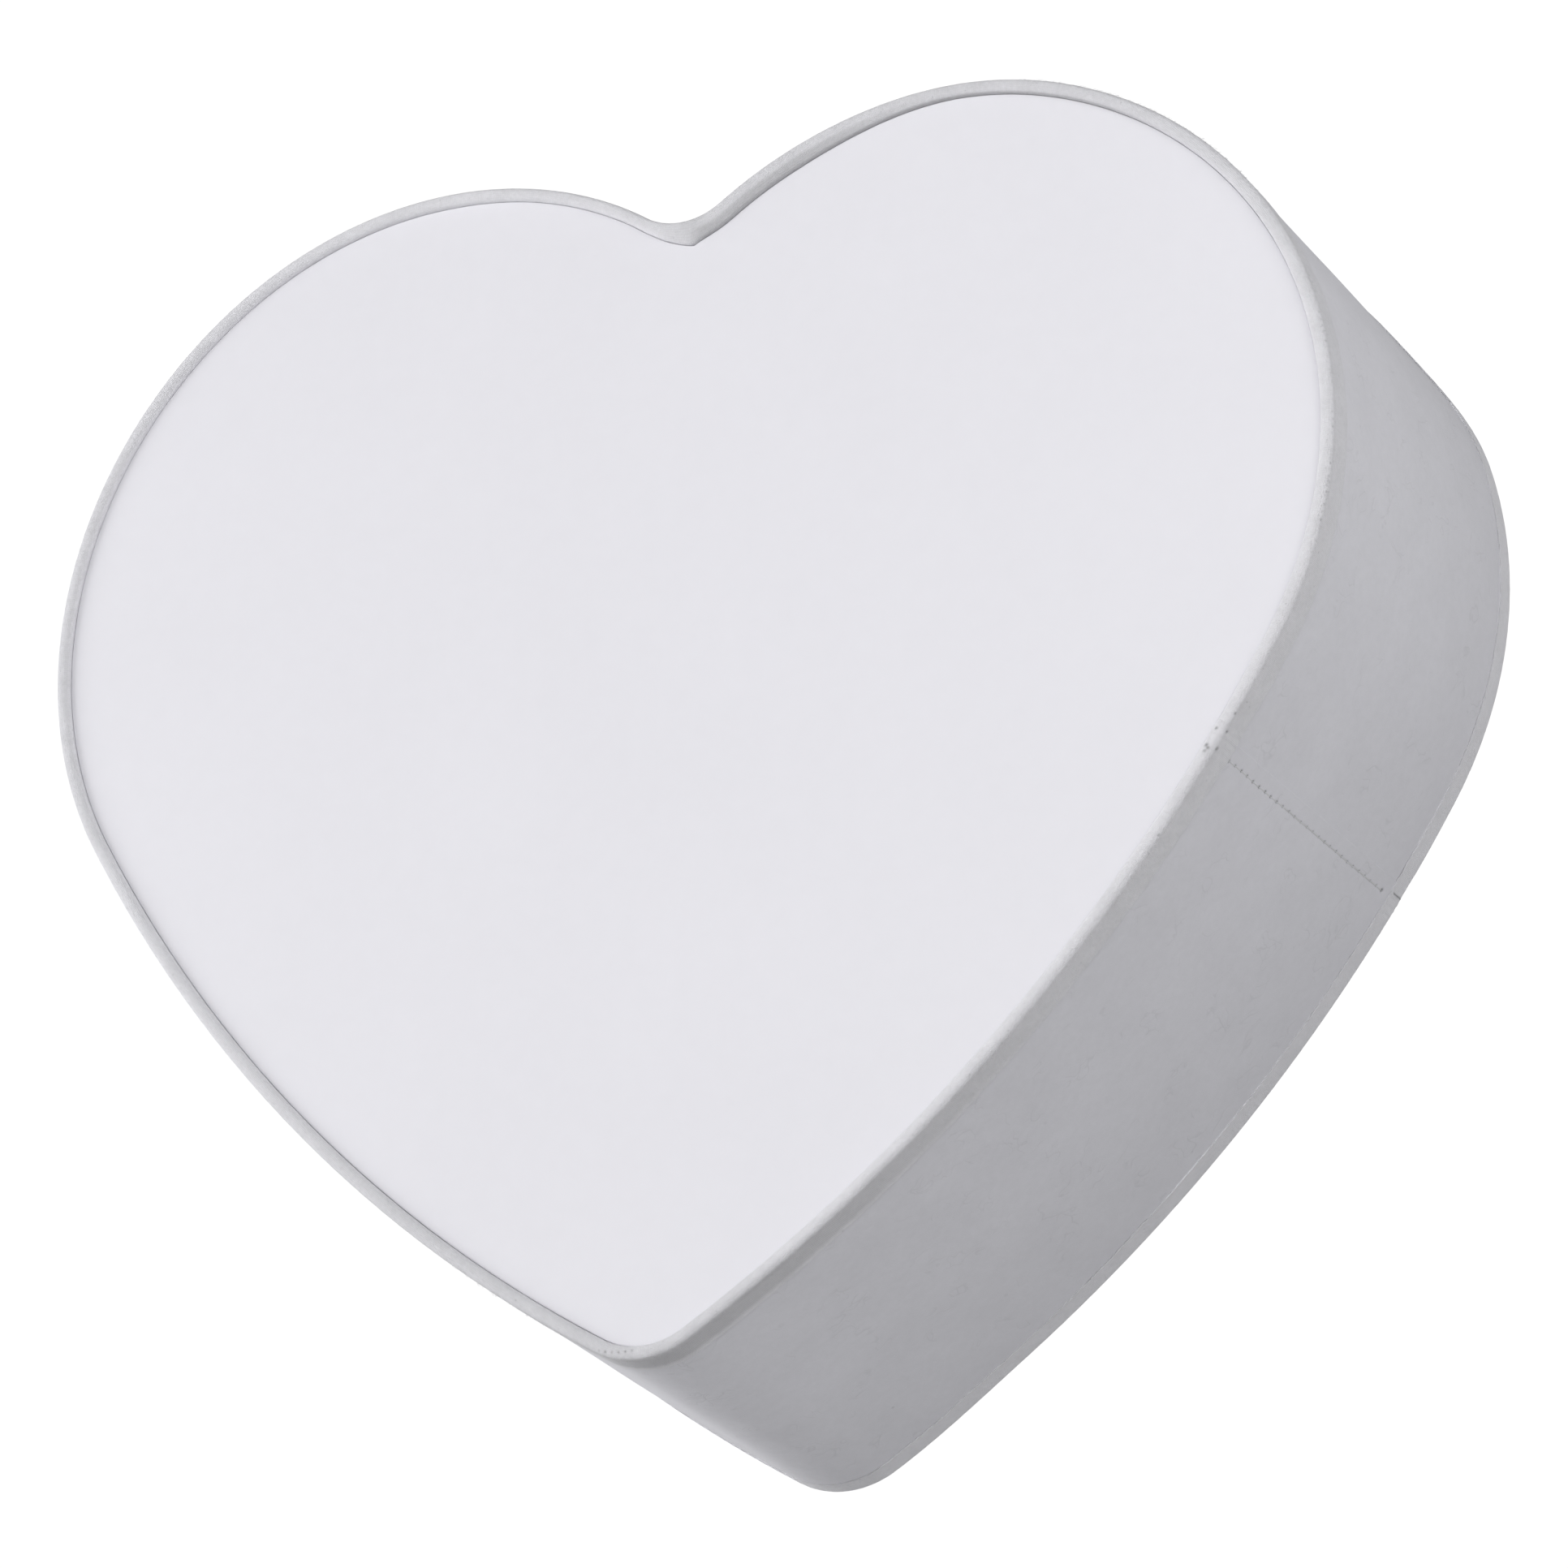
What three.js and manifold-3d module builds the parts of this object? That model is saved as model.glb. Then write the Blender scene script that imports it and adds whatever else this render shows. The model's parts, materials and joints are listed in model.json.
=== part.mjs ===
// Heart-shaped flush light: a fabric shade on two wire rings, closed in front by an opal
// diffuser, snapped over a round chassis that carries three screw-in bulbs.
// Millimetres, +Z up. The origin is the middle of the wall strap's back face, the wall is
// the plane y = 0, and the light looks towards -Y.

import * as THREE from 'three';
import { mergeVertices } from 'three/addons/utils/BufferGeometryUtils.js';
import Module from 'manifold-3d';

const wasm = await Module();
wasm.setup();

// ---------------------------------------------------------------- driving dimensions

const GAP = 0.3; // kept between pieces that touch

// Heart outline, right half, from the cleft to the tip: arcs that run into each other.
// heading is the direction in degrees (0 = +X, 90 = +Z) in which each arc ends.
const CLEFT_Z = 165;
const HEART_ARCS = [
  { radius: 26, heading: 34.4, hollow: true, steps: 4 }, // cleft
  { radius: 148.4, heading: -36, hollow: false, steps: 8 }, // top of the lobe
  { radius: 155.8, heading: -120, hollow: false, steps: 10 }, // shoulder
  { radius: 595, heading: -149.3, hollow: false, steps: 10 }, // long side
];
const TIP_HEADING = -180;
const TIP_STEPS = 4;

const SHADE_DEPTH = 153;
const SHADE_BACK_Y = -3;
const SHADE_FRONT_Y = SHADE_BACK_Y - SHADE_DEPTH;

const TAPE_THICKNESS = 0.5;
const TAPE_FOLD = 1.8; // radius of the tape's folded corners
const FRONT_TAPE_TURN = 12; // how far the tapes reach over the wall
const BACK_TAPE_TURN = 9.5;
const TAPE_INNER_LEG = 5;
const WALL_THICKNESS = 0.8;
const RING_WIRE_RADIUS = 1.5;

const DIFFUSER_THICKNESS = 3;
const DIFFUSER_RECESS = 2.6; // from the tape's front to the panel's face
const DIFFUSER_EDGE_GAP = 0.6;
const DIFFUSER_CLIP = { width: 12, sheet: 0.8, foot: 16, back: 15 };
const DIFFUSER_CLIP_PLACES = [0.12, 0.26, 0.4, 0.6, 0.74, 0.88]; // shares of the outline's steps

const SEAM_PLACE = { x: 207.5, z: -71.4 }; // where the wall's ends are sewn together
const SEAM_TAPE = { width: 20, thickness: 0.4 };
const STITCH_ENDS = { front: 1, back: 4.5 }; // kept clear of the trim tapes' edges
const THREAD_RADIUS = 0.2;

const SPIDER_ROD_RADIUS = 2;
const SPIDER_ROD_Y = -30;
const SPIDER_HUB = { radius: 22, bore: 5, thickness: 2 };
const SPIDER_ARMS = { top: 90, left: 210, right: 330 }; // degrees around the chassis

const PAN = { radius: 85, depth: 24, sheet: 1, corner: 4, lift: 0.6 };
const STRAP = { length: 140, width: 22, thickness: 2 };
const STRAP_SLOT = { offset: 35, length: 14, width: 5 };
const STUD = { offset: 58, radius: 2, end: -31 };
const STUD_HOLE_RADIUS = 2.6;
const NUT = { radius: 6, bore: 2.35, skirt: 5, height: 11 };
const SPRING_CLIP = { offset: 62, width: 10, sheet: 0.8, halfGap: 2.4, reach: 9.5, flare: 1.8 };

const TERMINAL_BLOCK = { width: 44, height: 18, depth: 13, z: 22 };
const TERMINAL_PITCH = 12;
const TERMINAL_SCREW = { radius: 2.2, height: 1.5 };
const EARTH_SCREW = { x: -45, z: 31, radius: 4, height: 3 };
const EARTH_LEAD_RADIUS = 1.25;

const LAMP_ANGLES = [30, 150, 270]; // degrees around the chassis
const LAMP_AXIS_Y = -62;
const LAMP_BASE = 38; // distance from the origin to the lampholder's base
const HOLDER = { length: 45, radius: 20, bore: 14.3 };
const SCREW_SHELL = { inner: 13.45, outer: 13.95, start: 14, end: 42 };
const CONTACT = { radius: 5, start: 12.4, end: 13.8 };
const BRACKET = { width: 28, sheet: 1.5, foot: 24, head: 16, hole: 3.2 };
const LEAD_RADIUS = 2;
const LEAD_DROP = 29.5; // distance from the origin at which a lead passes the pan
const GROMMET = { hole: 4.4, neck: 4, bore: 2.5, flange: 5.6, lip: 1.2 };

const BULB_CAP = { radius: 13.1, root: 12.5, start: 14.2, end: 42, threads: 5, pitch: 3.6 };
const GLOBE = { radius: 30, neck: 13.6, length: 82, glass: 1 };

const ROUND_STEPS = 16; // sides of small turned pieces
const ROD_SIDES = 8;

// ---------------------------------------------------------------- materials

const material = (color, roughness, metalness = 0) =>
  new THREE.MeshStandardMaterial({ color, roughness, metalness });

const WALL_FABRIC = material(0xe4e4e7, 0.92);
const TRIM_FABRIC = material(0xe9e9ec, 0.9);
const THREAD = material(0xd8d8da, 0.8);
const OPAL = material(0xf2f1f5, 0.45);
const COATED_WIRE = material(0xf1f1ee, 0.4, 0.3);
const PAINTED_STEEL = material(0xf4f4f2, 0.35, 0.2);
const ZINC = material(0xb9bbbd, 0.35, 0.9);
const SPRING_STEEL = material(0xa9acb0, 0.3, 1);
const CERAMIC = material(0xf6f5ef, 0.25);
const BRASS = material(0xc9a45a, 0.3, 1);
const CAP_METAL = material(0xc6c7c9, 0.3, 1);
const GLASS = material(0xfafafa, 0.25);
const TERMINAL_PLASTIC = material(0xf3f3ef, 0.5);
const RUBBER = material(0x3b3b3d, 0.8);
const LEAD_SHEATH = material(0xe9e9e9, 0.55);
const EARTH_SHEATH = material(0x8fae3a, 0.55);

// ---------------------------------------------------------------- shape helpers

const radians = THREE.MathUtils.degToRad;

// The heart's outline, moved inwards by inset: [x, z] points, clockwise seen from the room.
function heartLoop(inset) {
  const right = [];
  let x = 0;
  let z = CLEFT_Z - inset;
  let heading = 0;
  const walk = (radius, end, hollow, steps) => {
    const side = hollow ? 1 : -1;
    const centreX = x - side * radius * Math.sin(radians(heading));
    const centreZ = z + side * radius * Math.cos(radians(heading));
    for (let i = 1; i <= steps; i += 1) {
      const turn = radians(heading + ((end - heading) * i) / steps);
      x = centreX + side * radius * Math.sin(turn);
      z = centreZ - side * radius * Math.cos(turn);
      right.push([x, z]);
    }
    heading = end;
  };
  const start = [x, z];
  for (const arc of HEART_ARCS) {
    const radius = arc.hollow ? arc.radius + inset : arc.radius - inset;
    walk(radius, arc.heading, arc.hollow, arc.steps);
  }
  // The tip's arc is the one that meets the centre line squarely.
  walk(-x / Math.sin(radians(heading)), TIP_HEADING, false, TIP_STEPS);
  const tip = [0, right.pop()[1]];
  const left = right.map(([px, pz]) => [-px, pz]).reverse();
  return [start, ...right, tip, ...left];
}

// A closed profile of [inset, y] points, counter-clockwise, carried round the heart.
function heartSweep(profile) {
  const loops = profile.map(([inset]) => heartLoop(inset));
  const count = loops[0].length;
  const positions = [];
  loops.forEach((loop, j) => loop.forEach(([x, z]) => positions.push(x, profile[j][1], z)));
  const index = [];
  for (let j = 0; j < profile.length; j += 1) {
    const nextRow = ((j + 1) % profile.length) * count;
    const row = j * count;
    for (let i = 0; i < count; i += 1) {
      const next = (i + 1) % count;
      index.push(row + i, nextRow + i, row + next);
      index.push(row + next, nextRow + i, nextRow + next);
    }
  }
  const geometry = new THREE.BufferGeometry();
  geometry.setAttribute('position', new THREE.Float32BufferAttribute(positions, 3));
  geometry.setIndex(index);
  return geometry;
}

// A shape drawn in X and Z, as a plate that reaches from backY towards the room.
function frontPlate(shape, backY, thickness, curveSegments = ROUND_STEPS / 2) {
  const geometry = new THREE.ExtrudeGeometry(shape, {
    depth: thickness,
    bevelEnabled: false,
    curveSegments,
  });
  geometry.rotateX(Math.PI / 2);
  geometry.translate(0, backY, 0);
  return geometry;
}

const shapeOf = (points) => new THREE.Shape(points.map(([x, y]) => new THREE.Vector2(x, y)));

const rectangle = (x0, y0, x1, y1) => shapeOf([[x0, y0], [x1, y0], [x1, y1], [x0, y1]]);

// A profile of [radius, height] points turned about +Y.
function turned(profile, steps = ROUND_STEPS) {
  return new THREE.LatheGeometry(profile.map(([r, h]) => new THREE.Vector2(r, h)), steps);
}

// A cylinder about +Y between two heights.
function pin(radius, low, high, steps = ROUND_STEPS) {
  const geometry = new THREE.CylinderGeometry(radius, radius, high - low, steps);
  geometry.translate(0, (low + high) / 2, 0);
  return geometry;
}

// A round rod of the given radius along a smooth curve through the points.
function rod(points, radius, steps, sides = ROD_SIDES) {
  const section = new THREE.Shape();
  section.absarc(0, 0, radius, 0, 2 * Math.PI);
  return new THREE.ExtrudeGeometry(section, {
    steps,
    curveSegments: sides / 2, // a full circle is cut into twice as many sides
    extrudePath: new THREE.CatmullRomCurve3(points, false, 'centripetal'),
  });
}

function arcPoints(centreX, centreY, radius, from, to, steps) {
  const points = [];
  for (let i = 0; i <= steps; i += 1) {
    const turn = radians(from + ((to - from) * i) / steps);
    points.push([centreX + radius * Math.cos(turn), centreY + radius * Math.sin(turn)]);
  }
  return points;
}

// ---------------------------------------------------------------- boolean helpers

function toSolid(geometry) {
  const bare = geometry.clone();
  bare.deleteAttribute('normal');
  bare.deleteAttribute('uv');
  const merged = mergeVertices(bare);
  const triangles = [];
  for (let i = 0; i < merged.index.count; i += 3) {
    const [a, b, c] = [0, 1, 2].map((k) => merged.index.getX(i + k));
    if (a !== b && b !== c && c !== a) triangles.push(a, b, c);
  }
  const vertProperties = new Float32Array(merged.attributes.position.array);
  const triVerts = new Uint32Array(triangles);
  return new wasm.Manifold(new wasm.Mesh({ numProp: 3, vertProperties, triVerts }));
}

function cut(geometry, tools) {
  let solid = toSolid(geometry);
  for (const tool of tools) solid = solid.subtract(toSolid(tool));
  const mesh = solid.getMesh();
  const result = new THREE.BufferGeometry();
  result.setAttribute('position', new THREE.Float32BufferAttribute(mesh.vertProperties, 3));
  result.setIndex(Array.from(mesh.triVerts));
  return result;
}

// ---------------------------------------------------------------- scene graph helpers

function addPiece(group, name, geometry, pieceMaterial) {
  const mesh = new THREE.Mesh(geometry, pieceMaterial);
  mesh.name = name;
  group.add(mesh);
  return mesh;
}

// A frame whose +X points outwards in the plane of the heart, at an angle from +X.
function spokeFrame(parent, degrees) {
  const frame = new THREE.Group();
  frame.rotation.y = -radians(degrees);
  parent.add(frame);
  return frame;
}

const onSpoke = (degrees, distance, y) =>
  new THREE.Vector3(distance * Math.cos(radians(degrees)), y, distance * Math.sin(radians(degrees)));

// A frame on one straight step of the heart's outline, a share of the way along it: +X is
// the outward normal, and x = 0 is the outer face.
function outlineFrame(parent, index, share = 0.5) {
  const loop = heartLoop(0);
  const [startX, startZ] = loop[index];
  const [endX, endZ] = loop[(index + 1) % loop.length];
  const frame = new THREE.Group();
  frame.position.set(startX + share * (endX - startX), 0, startZ + share * (endZ - startZ));
  frame.rotation.y = -Math.atan2(endX - startX, startZ - endZ);
  parent.add(frame);
  return frame;
}

// The straight step of the heart's outline nearest to a place, and the share along it.
function nearestOnOutline({ x, z }) {
  const loop = heartLoop(0);
  let best = { distance: Infinity };
  loop.forEach(([startX, startZ], index) => {
    const [endX, endZ] = loop[(index + 1) % loop.length];
    const along = new THREE.Vector2(endX - startX, endZ - startZ);
    const offset = new THREE.Vector2(x - startX, z - startZ);
    const share = THREE.MathUtils.clamp(offset.dot(along) / along.lengthSq(), 0, 1);
    const distance = offset.addScaledVector(along, -share).length();
    if (distance < best.distance) best = { index, share, distance };
  });
  return best;
}

// ---------------------------------------------------------------- shade

const WALL_OUTER = TAPE_THICKNESS + GAP;
const WALL_INNER = WALL_OUTER + WALL_THICKNESS;
const WIRE_INSET = WALL_INNER + GAP + RING_WIRE_RADIUS;
const TAPE_INNER = WIRE_INSET + RING_WIRE_RADIUS + GAP;
const TAPE_WIDTH = TAPE_INNER + TAPE_THICKNESS;
const WALL_END_CLEARANCE = 1.9;

function addWall(shade) {
  const front = SHADE_FRONT_Y + WALL_END_CLEARANCE;
  const back = SHADE_BACK_Y - WALL_END_CLEARANCE;
  const profile = [[WALL_OUTER, back], [WALL_OUTER, front], [WALL_INNER, front], [WALL_INNER, back]];
  addPiece(shade, 'shade_wall', heartSweep(profile), WALL_FABRIC);
}

// The wire lies in the angle between the wall and the tape; towards is +1 for the back.
function addRingWire(shade, name, faceY, towards) {
  const centreY = faceY - towards * (TAPE_THICKNESS + GAP + RING_WIRE_RADIUS);
  const sides = 6;
  const profile = arcPoints(WIRE_INSET, centreY, RING_WIRE_RADIUS, 0, 300, sides - 1);
  addPiece(shade, name, heartSweep(profile), COATED_WIRE);
}

// A folded tape: a leg on the wall, a flat face with rounded corners and a short inner leg.
function addTrimTape(shade, name, faceY, towards, turn, slots) {
  const outerFold = TAPE_FOLD;
  const innerFold = TAPE_FOLD - TAPE_THICKNESS;
  const at = (inset, depth) => [inset, faceY - towards * depth];
  const outside = [
    at(0, turn),
    ...arcPoints(outerFold, outerFold, outerFold, 180, 270, 2).map(([a, b]) => at(a, b)),
    ...arcPoints(TAPE_WIDTH - outerFold, outerFold, outerFold, 270, 360, 2).map(([a, b]) => at(a, b)),
    at(TAPE_WIDTH, TAPE_INNER_LEG),
  ];
  const inside = [
    at(TAPE_WIDTH - TAPE_THICKNESS, TAPE_INNER_LEG),
    ...arcPoints(TAPE_WIDTH - outerFold, outerFold, innerFold, 360, 270, 1).map(([a, b]) => at(a, b)),
    ...arcPoints(outerFold, outerFold, innerFold, 270, 180, 1).map(([a, b]) => at(a, b)),
    at(TAPE_THICKNESS, turn),
  ];
  const profile = [...outside, ...inside];
  if (towards > 0) profile.reverse();
  let geometry = heartSweep(profile);
  if (slots.length > 0) geometry = cut(geometry, slots);
  addPiece(shade, name, geometry, TRIM_FABRIC);
}

function addDiffuser(shade) {
  const outline = shapeOf(heartLoop(TAPE_WIDTH + DIFFUSER_EDGE_GAP));
  const backY = SHADE_FRONT_Y + DIFFUSER_RECESS + DIFFUSER_THICKNESS;
  addPiece(shade, 'diffuser_panel', frontPlate(outline, backY, DIFFUSER_THICKNESS), OPAL);
}

// Bent tabs on the wall's inner side that carry the diffuser from behind.
function addDiffuserClips(shade) {
  const { width, sheet, foot, back } = DIFFUSER_CLIP;
  const seatY = SHADE_FRONT_Y + DIFFUSER_RECESS + DIFFUSER_THICKNESS + GAP;
  const outer = -(WALL_INNER + GAP);
  const angle = shapeOf([
    [outer, seatY],
    [outer, seatY + back],
    [outer - sheet, seatY + back],
    [outer - sheet, seatY + sheet],
    [outer - foot, seatY + sheet],
    [outer - foot, seatY],
  ]);
  const count = heartLoop(0).length;
  DIFFUSER_CLIP_PLACES.forEach((place, i) => {
    const geometry = new THREE.ExtrudeGeometry(angle, { depth: width, bevelEnabled: false });
    geometry.translate(0, 0, -width / 2);
    const frame = outlineFrame(shade, Math.floor(place * count));
    addPiece(frame, `diffuser_clip_${i + 1}`, geometry, ZINC);
  });
}

// The wall's two ends meet here: a tape inside, and a line of stitching on both faces.
function addSeam(shade) {
  const { index, share } = nearestOnOutline(SEAM_PLACE);
  const frame = outlineFrame(shade, index, share);
  const front = SHADE_FRONT_Y + FRONT_TAPE_TURN + STITCH_ENDS.front;
  const back = SHADE_BACK_Y - BACK_TAPE_TURN - STITCH_ENDS.back;
  const inner = -(WALL_INNER + GAP);
  const tape = new THREE.BoxGeometry(SEAM_TAPE.thickness, back - front, SEAM_TAPE.width);
  tape.translate(inner - SEAM_TAPE.thickness / 2, (front + back) / 2, 0);
  addPiece(frame, 'seam_tape', tape, TRIM_FABRIC);
  const threadSides = 6;
  const outerThread = pin(THREAD_RADIUS, front, back, threadSides);
  outerThread.translate(-WALL_OUTER + GAP + THREAD_RADIUS, 0, 0);
  addPiece(frame, 'seam_thread_outer', outerThread, THREAD);
  const innerThread = pin(THREAD_RADIUS, front, back, threadSides);
  innerThread.translate(inner - SEAM_TAPE.thickness - GAP - THREAD_RADIUS, 0, 0);
  addPiece(frame, 'seam_thread_inner', innerThread, THREAD);
}

// ---------------------------------------------------------------- spider

// Distance along a spoke from the origin to the heart's outline at an inset.
function spokeLength(degrees, inset) {
  const loop = heartLoop(inset);
  const direction = [Math.cos(radians(degrees)), Math.sin(radians(degrees))];
  for (let i = 0; i < loop.length; i += 1) {
    const [ax, az] = loop[i];
    const [bx, bz] = loop[(i + 1) % loop.length];
    const crossA = direction[0] * az - direction[1] * ax;
    const crossB = direction[0] * bz - direction[1] * bx;
    const share = crossA / (crossA - crossB);
    const reach = direction[0] * (ax + share * (bx - ax)) + direction[1] * (az + share * (bz - az));
    if (share >= 0 && share < 1 && reach > 0) return reach;
  }
  return 0;
}

// A rod from the hub over the chassis and down to the back ring.
function spiderRod(degrees, radius) {
  const endY = SHADE_BACK_Y - TAPE_THICKNESS - GAP - RING_WIRE_RADIUS;
  const tip = spokeLength(degrees, WIRE_INSET + RING_WIRE_RADIUS + GAP);
  const start = 9;
  const overPan = PAN.radius + 4;
  const down = PAN.radius + 26;
  const points = [
    onSpoke(degrees, start, SPIDER_ROD_Y),
    onSpoke(degrees, overPan - 30, SPIDER_ROD_Y),
    onSpoke(degrees, overPan, SPIDER_ROD_Y),
    onSpoke(degrees, (overPan + down) / 2, (SPIDER_ROD_Y + endY) / 2),
    onSpoke(degrees, down, endY),
    onSpoke(degrees, tip, endY),
  ];
  const steps = 20;
  return rod(points, radius, steps);
}

function addSpider(shade) {
  for (const [name, degrees] of Object.entries(SPIDER_ARMS)) {
    addPiece(shade, `spider_arm_${name}`, spiderRod(degrees, SPIDER_ROD_RADIUS), COATED_WIRE);
  }
  const disc = new THREE.Shape();
  disc.absarc(0, 0, SPIDER_HUB.radius, 0, 2 * Math.PI);
  const bore = new THREE.Path();
  bore.absarc(0, 0, SPIDER_HUB.bore, 0, 2 * Math.PI, true);
  disc.holes.push(bore);
  const backY = SPIDER_ROD_Y - SPIDER_ROD_RADIUS - GAP;
  addPiece(shade, 'spider_hub', frontPlate(disc, backY, SPIDER_HUB.thickness), COATED_WIRE);
}

// ---------------------------------------------------------------- chassis

function addStrap(chassis) {
  const { length, width, thickness } = STRAP;
  const shape = rectangle(-length / 2, -width / 2, length / 2, width / 2);
  for (const side of [-1, 1]) {
    const end = STRAP_SLOT.width / 2;
    const straight = (STRAP_SLOT.length - STRAP_SLOT.width) / 2;
    const slot = new THREE.Path();
    slot.absarc(side * STRAP_SLOT.offset + straight, 0, end, -Math.PI / 2, Math.PI / 2);
    slot.absarc(side * STRAP_SLOT.offset - straight, 0, end, Math.PI / 2, (3 * Math.PI) / 2);
    shape.holes.push(slot);
  }
  const slotSteps = 4;
  addPiece(chassis, 'wall_strap', frontPlate(shape, 0, thickness, slotSteps), ZINC);
}

function addStudsAndNuts(chassis) {
  const panFront = -PAN.depth - GAP;
  const boreEnd = NUT.height - 2.5;
  const dome = arcPoints(0, NUT.skirt, NUT.radius, 0, 90, 5).map(([r, h]) => [
    r,
    NUT.skirt + ((h - NUT.skirt) * (NUT.height - NUT.skirt)) / NUT.radius,
  ]);
  const profile = [[0, boreEnd], [NUT.bore, boreEnd], [NUT.bore, 0], [NUT.radius, 0], ...dome];
  profile[profile.length - 1][0] = 0;
  for (const [name, side] of [['left', -1], ['right', 1]]) {
    const studSteps = 12;
    const stud = pin(STUD.radius, STUD.end, -STRAP.thickness - GAP, studSteps);
    stud.translate(side * STUD.offset, 0, 0);
    addPiece(chassis, `stud_${name}`, stud, ZINC);
    const nut = turned(profile, 16);
    nut.rotateX(Math.PI);
    nut.translate(side * STUD.offset, panFront, 0);
    addPiece(chassis, `dome_nut_${name}`, nut, CAP_METAL);
  }
}

function addPan(chassis) {
  const { radius, depth, sheet, corner, lift } = PAN;
  const wallEnd = -lift;
  const outside = arcPoints(radius - corner, -depth + corner, corner, 270, 360, 3);
  const inside = arcPoints(radius - corner, -depth + corner, corner - sheet, 360, 270, 3);
  const profile = [
    [0, -depth],
    ...outside,
    [radius, wallEnd],
    [radius - sheet, wallEnd],
    ...inside,
    [0, -depth + sheet],
  ];
  const panSteps = 36;
  const holeAt = (x, z, holeRadius) => {
    const tool = pin(holeRadius, -depth - sheet, -depth + 2 * sheet, 16);
    tool.translate(x, 0, z);
    return tool;
  };
  const holes = [-1, 1].map((side) => holeAt(side * STUD.offset, 0, STUD_HOLE_RADIUS));
  for (const degrees of LAMP_ANGLES) {
    const place = onSpoke(degrees, LEAD_DROP, 0);
    holes.push(holeAt(place.x, place.z, GROMMET.hole));
  }
  addPiece(chassis, 'chassis_pan', cut(turned(profile, panSteps), holes), PAINTED_STEEL);
}

// U-shaped clips in which the spider's rods snap.
function addSpringClips(chassis) {
  const { offset, width, sheet, halfGap, reach, flare } = SPRING_CLIP;
  const base = -PAN.depth - GAP;
  const outer = halfGap + sheet;
  const mouth = base - reach - flare;
  const half = [
    [outer, base],
    [outer, base - reach],
    [outer + flare, mouth],
    [halfGap + flare, mouth],
    [halfGap, base - reach],
    [halfGap, base - sheet],
  ];
  const other = half.map(([across, y]) => [-across, y]).reverse();
  const shape = shapeOf([...half, ...other]);
  for (const [name, degrees] of Object.entries(SPIDER_ARMS)) {
    const geometry = new THREE.ExtrudeGeometry(shape, { depth: width, bevelEnabled: false });
    geometry.rotateY(Math.PI / 2);
    geometry.translate(offset - width / 2, 0, 0);
    addPiece(spokeFrame(chassis, degrees), `spring_clip_${name}`, geometry, SPRING_STEEL);
  }
}

const PAN_INSIDE_Y = -PAN.depth + PAN.sheet + GAP;
const BLOCK_TOP_Y = PAN_INSIDE_Y + TERMINAL_BLOCK.depth;

function addTerminals(chassis) {
  const { width, height, depth, z } = TERMINAL_BLOCK;
  const block = new THREE.BoxGeometry(width, depth, height);
  block.translate(0, PAN_INSIDE_Y + depth / 2, z + height / 2);
  addPiece(chassis, 'terminal_block', block, TERMINAL_PLASTIC);
  [-1, 0, 1].forEach((place, i) => {
    const bottom = BLOCK_TOP_Y + GAP;
    const screw = pin(TERMINAL_SCREW.radius, bottom, bottom + TERMINAL_SCREW.height, 12);
    screw.translate(place * TERMINAL_PITCH, 0, z + height / 2);
    addPiece(chassis, `terminal_screw_${i + 1}`, screw, BRASS);
  });
}

function addEarth(chassis) {
  const { x, z, radius, height } = EARTH_SCREW;
  const screw = pin(radius, PAN_INSIDE_Y, PAN_INSIDE_Y + height, 12);
  screw.translate(x, 0, z);
  addPiece(chassis, 'earth_screw', screw, BRASS);
  const startX = x + radius + GAP;
  const endX = -TERMINAL_BLOCK.width / 2 - GAP;
  const startY = PAN_INSIDE_Y + height / 2;
  const rise = 5;
  const straight = 4;
  const points = [
    new THREE.Vector3(startX, startY, z),
    new THREE.Vector3(startX + straight, startY, z),
    new THREE.Vector3((startX + endX) / 2, startY + rise / 2, z),
    new THREE.Vector3(endX - straight, startY + rise, z),
    new THREE.Vector3(endX, startY + rise, z),
  ];
  addPiece(chassis, 'earth_lead', rod(points, EARTH_LEAD_RADIUS, 10), EARTH_SHEATH);
}

// ---------------------------------------------------------------- lampholders and bulbs

function addBracket(frame, number) {
  const { width, sheet, foot, head, hole } = BRACKET;
  const face = LAMP_BASE - GAP;
  const seat = -PAN.depth - GAP;
  const shape = shapeOf([
    [face, seat - sheet],
    [face, LAMP_AXIS_Y - head],
    [face - sheet, LAMP_AXIS_Y - head],
    [face - sheet, seat],
    [face - sheet + foot, seat],
    [face - sheet + foot, seat - sheet],
  ]);
  const angle = new THREE.ExtrudeGeometry(shape, { depth: width, bevelEnabled: false });
  angle.translate(0, 0, -width / 2);
  const drill = pin(hole, face - 3 * sheet, face + sheet, 12);
  drill.rotateZ(-Math.PI / 2);
  drill.translate(0, LAMP_AXIS_Y, 0);
  addPiece(frame, `lamp_bracket_${number}`, cut(angle, [drill]), ZINC);
}

// Turned pieces of a lamp are drawn along +Y and laid along the spoke.
function addAlongLamp(frame, name, profile, pieceMaterial) {
  const geometry = turned(profile);
  geometry.rotateZ(-Math.PI / 2);
  geometry.translate(LAMP_BASE, LAMP_AXIS_Y, 0);
  return addPiece(frame, name, geometry, pieceMaterial);
}

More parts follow.
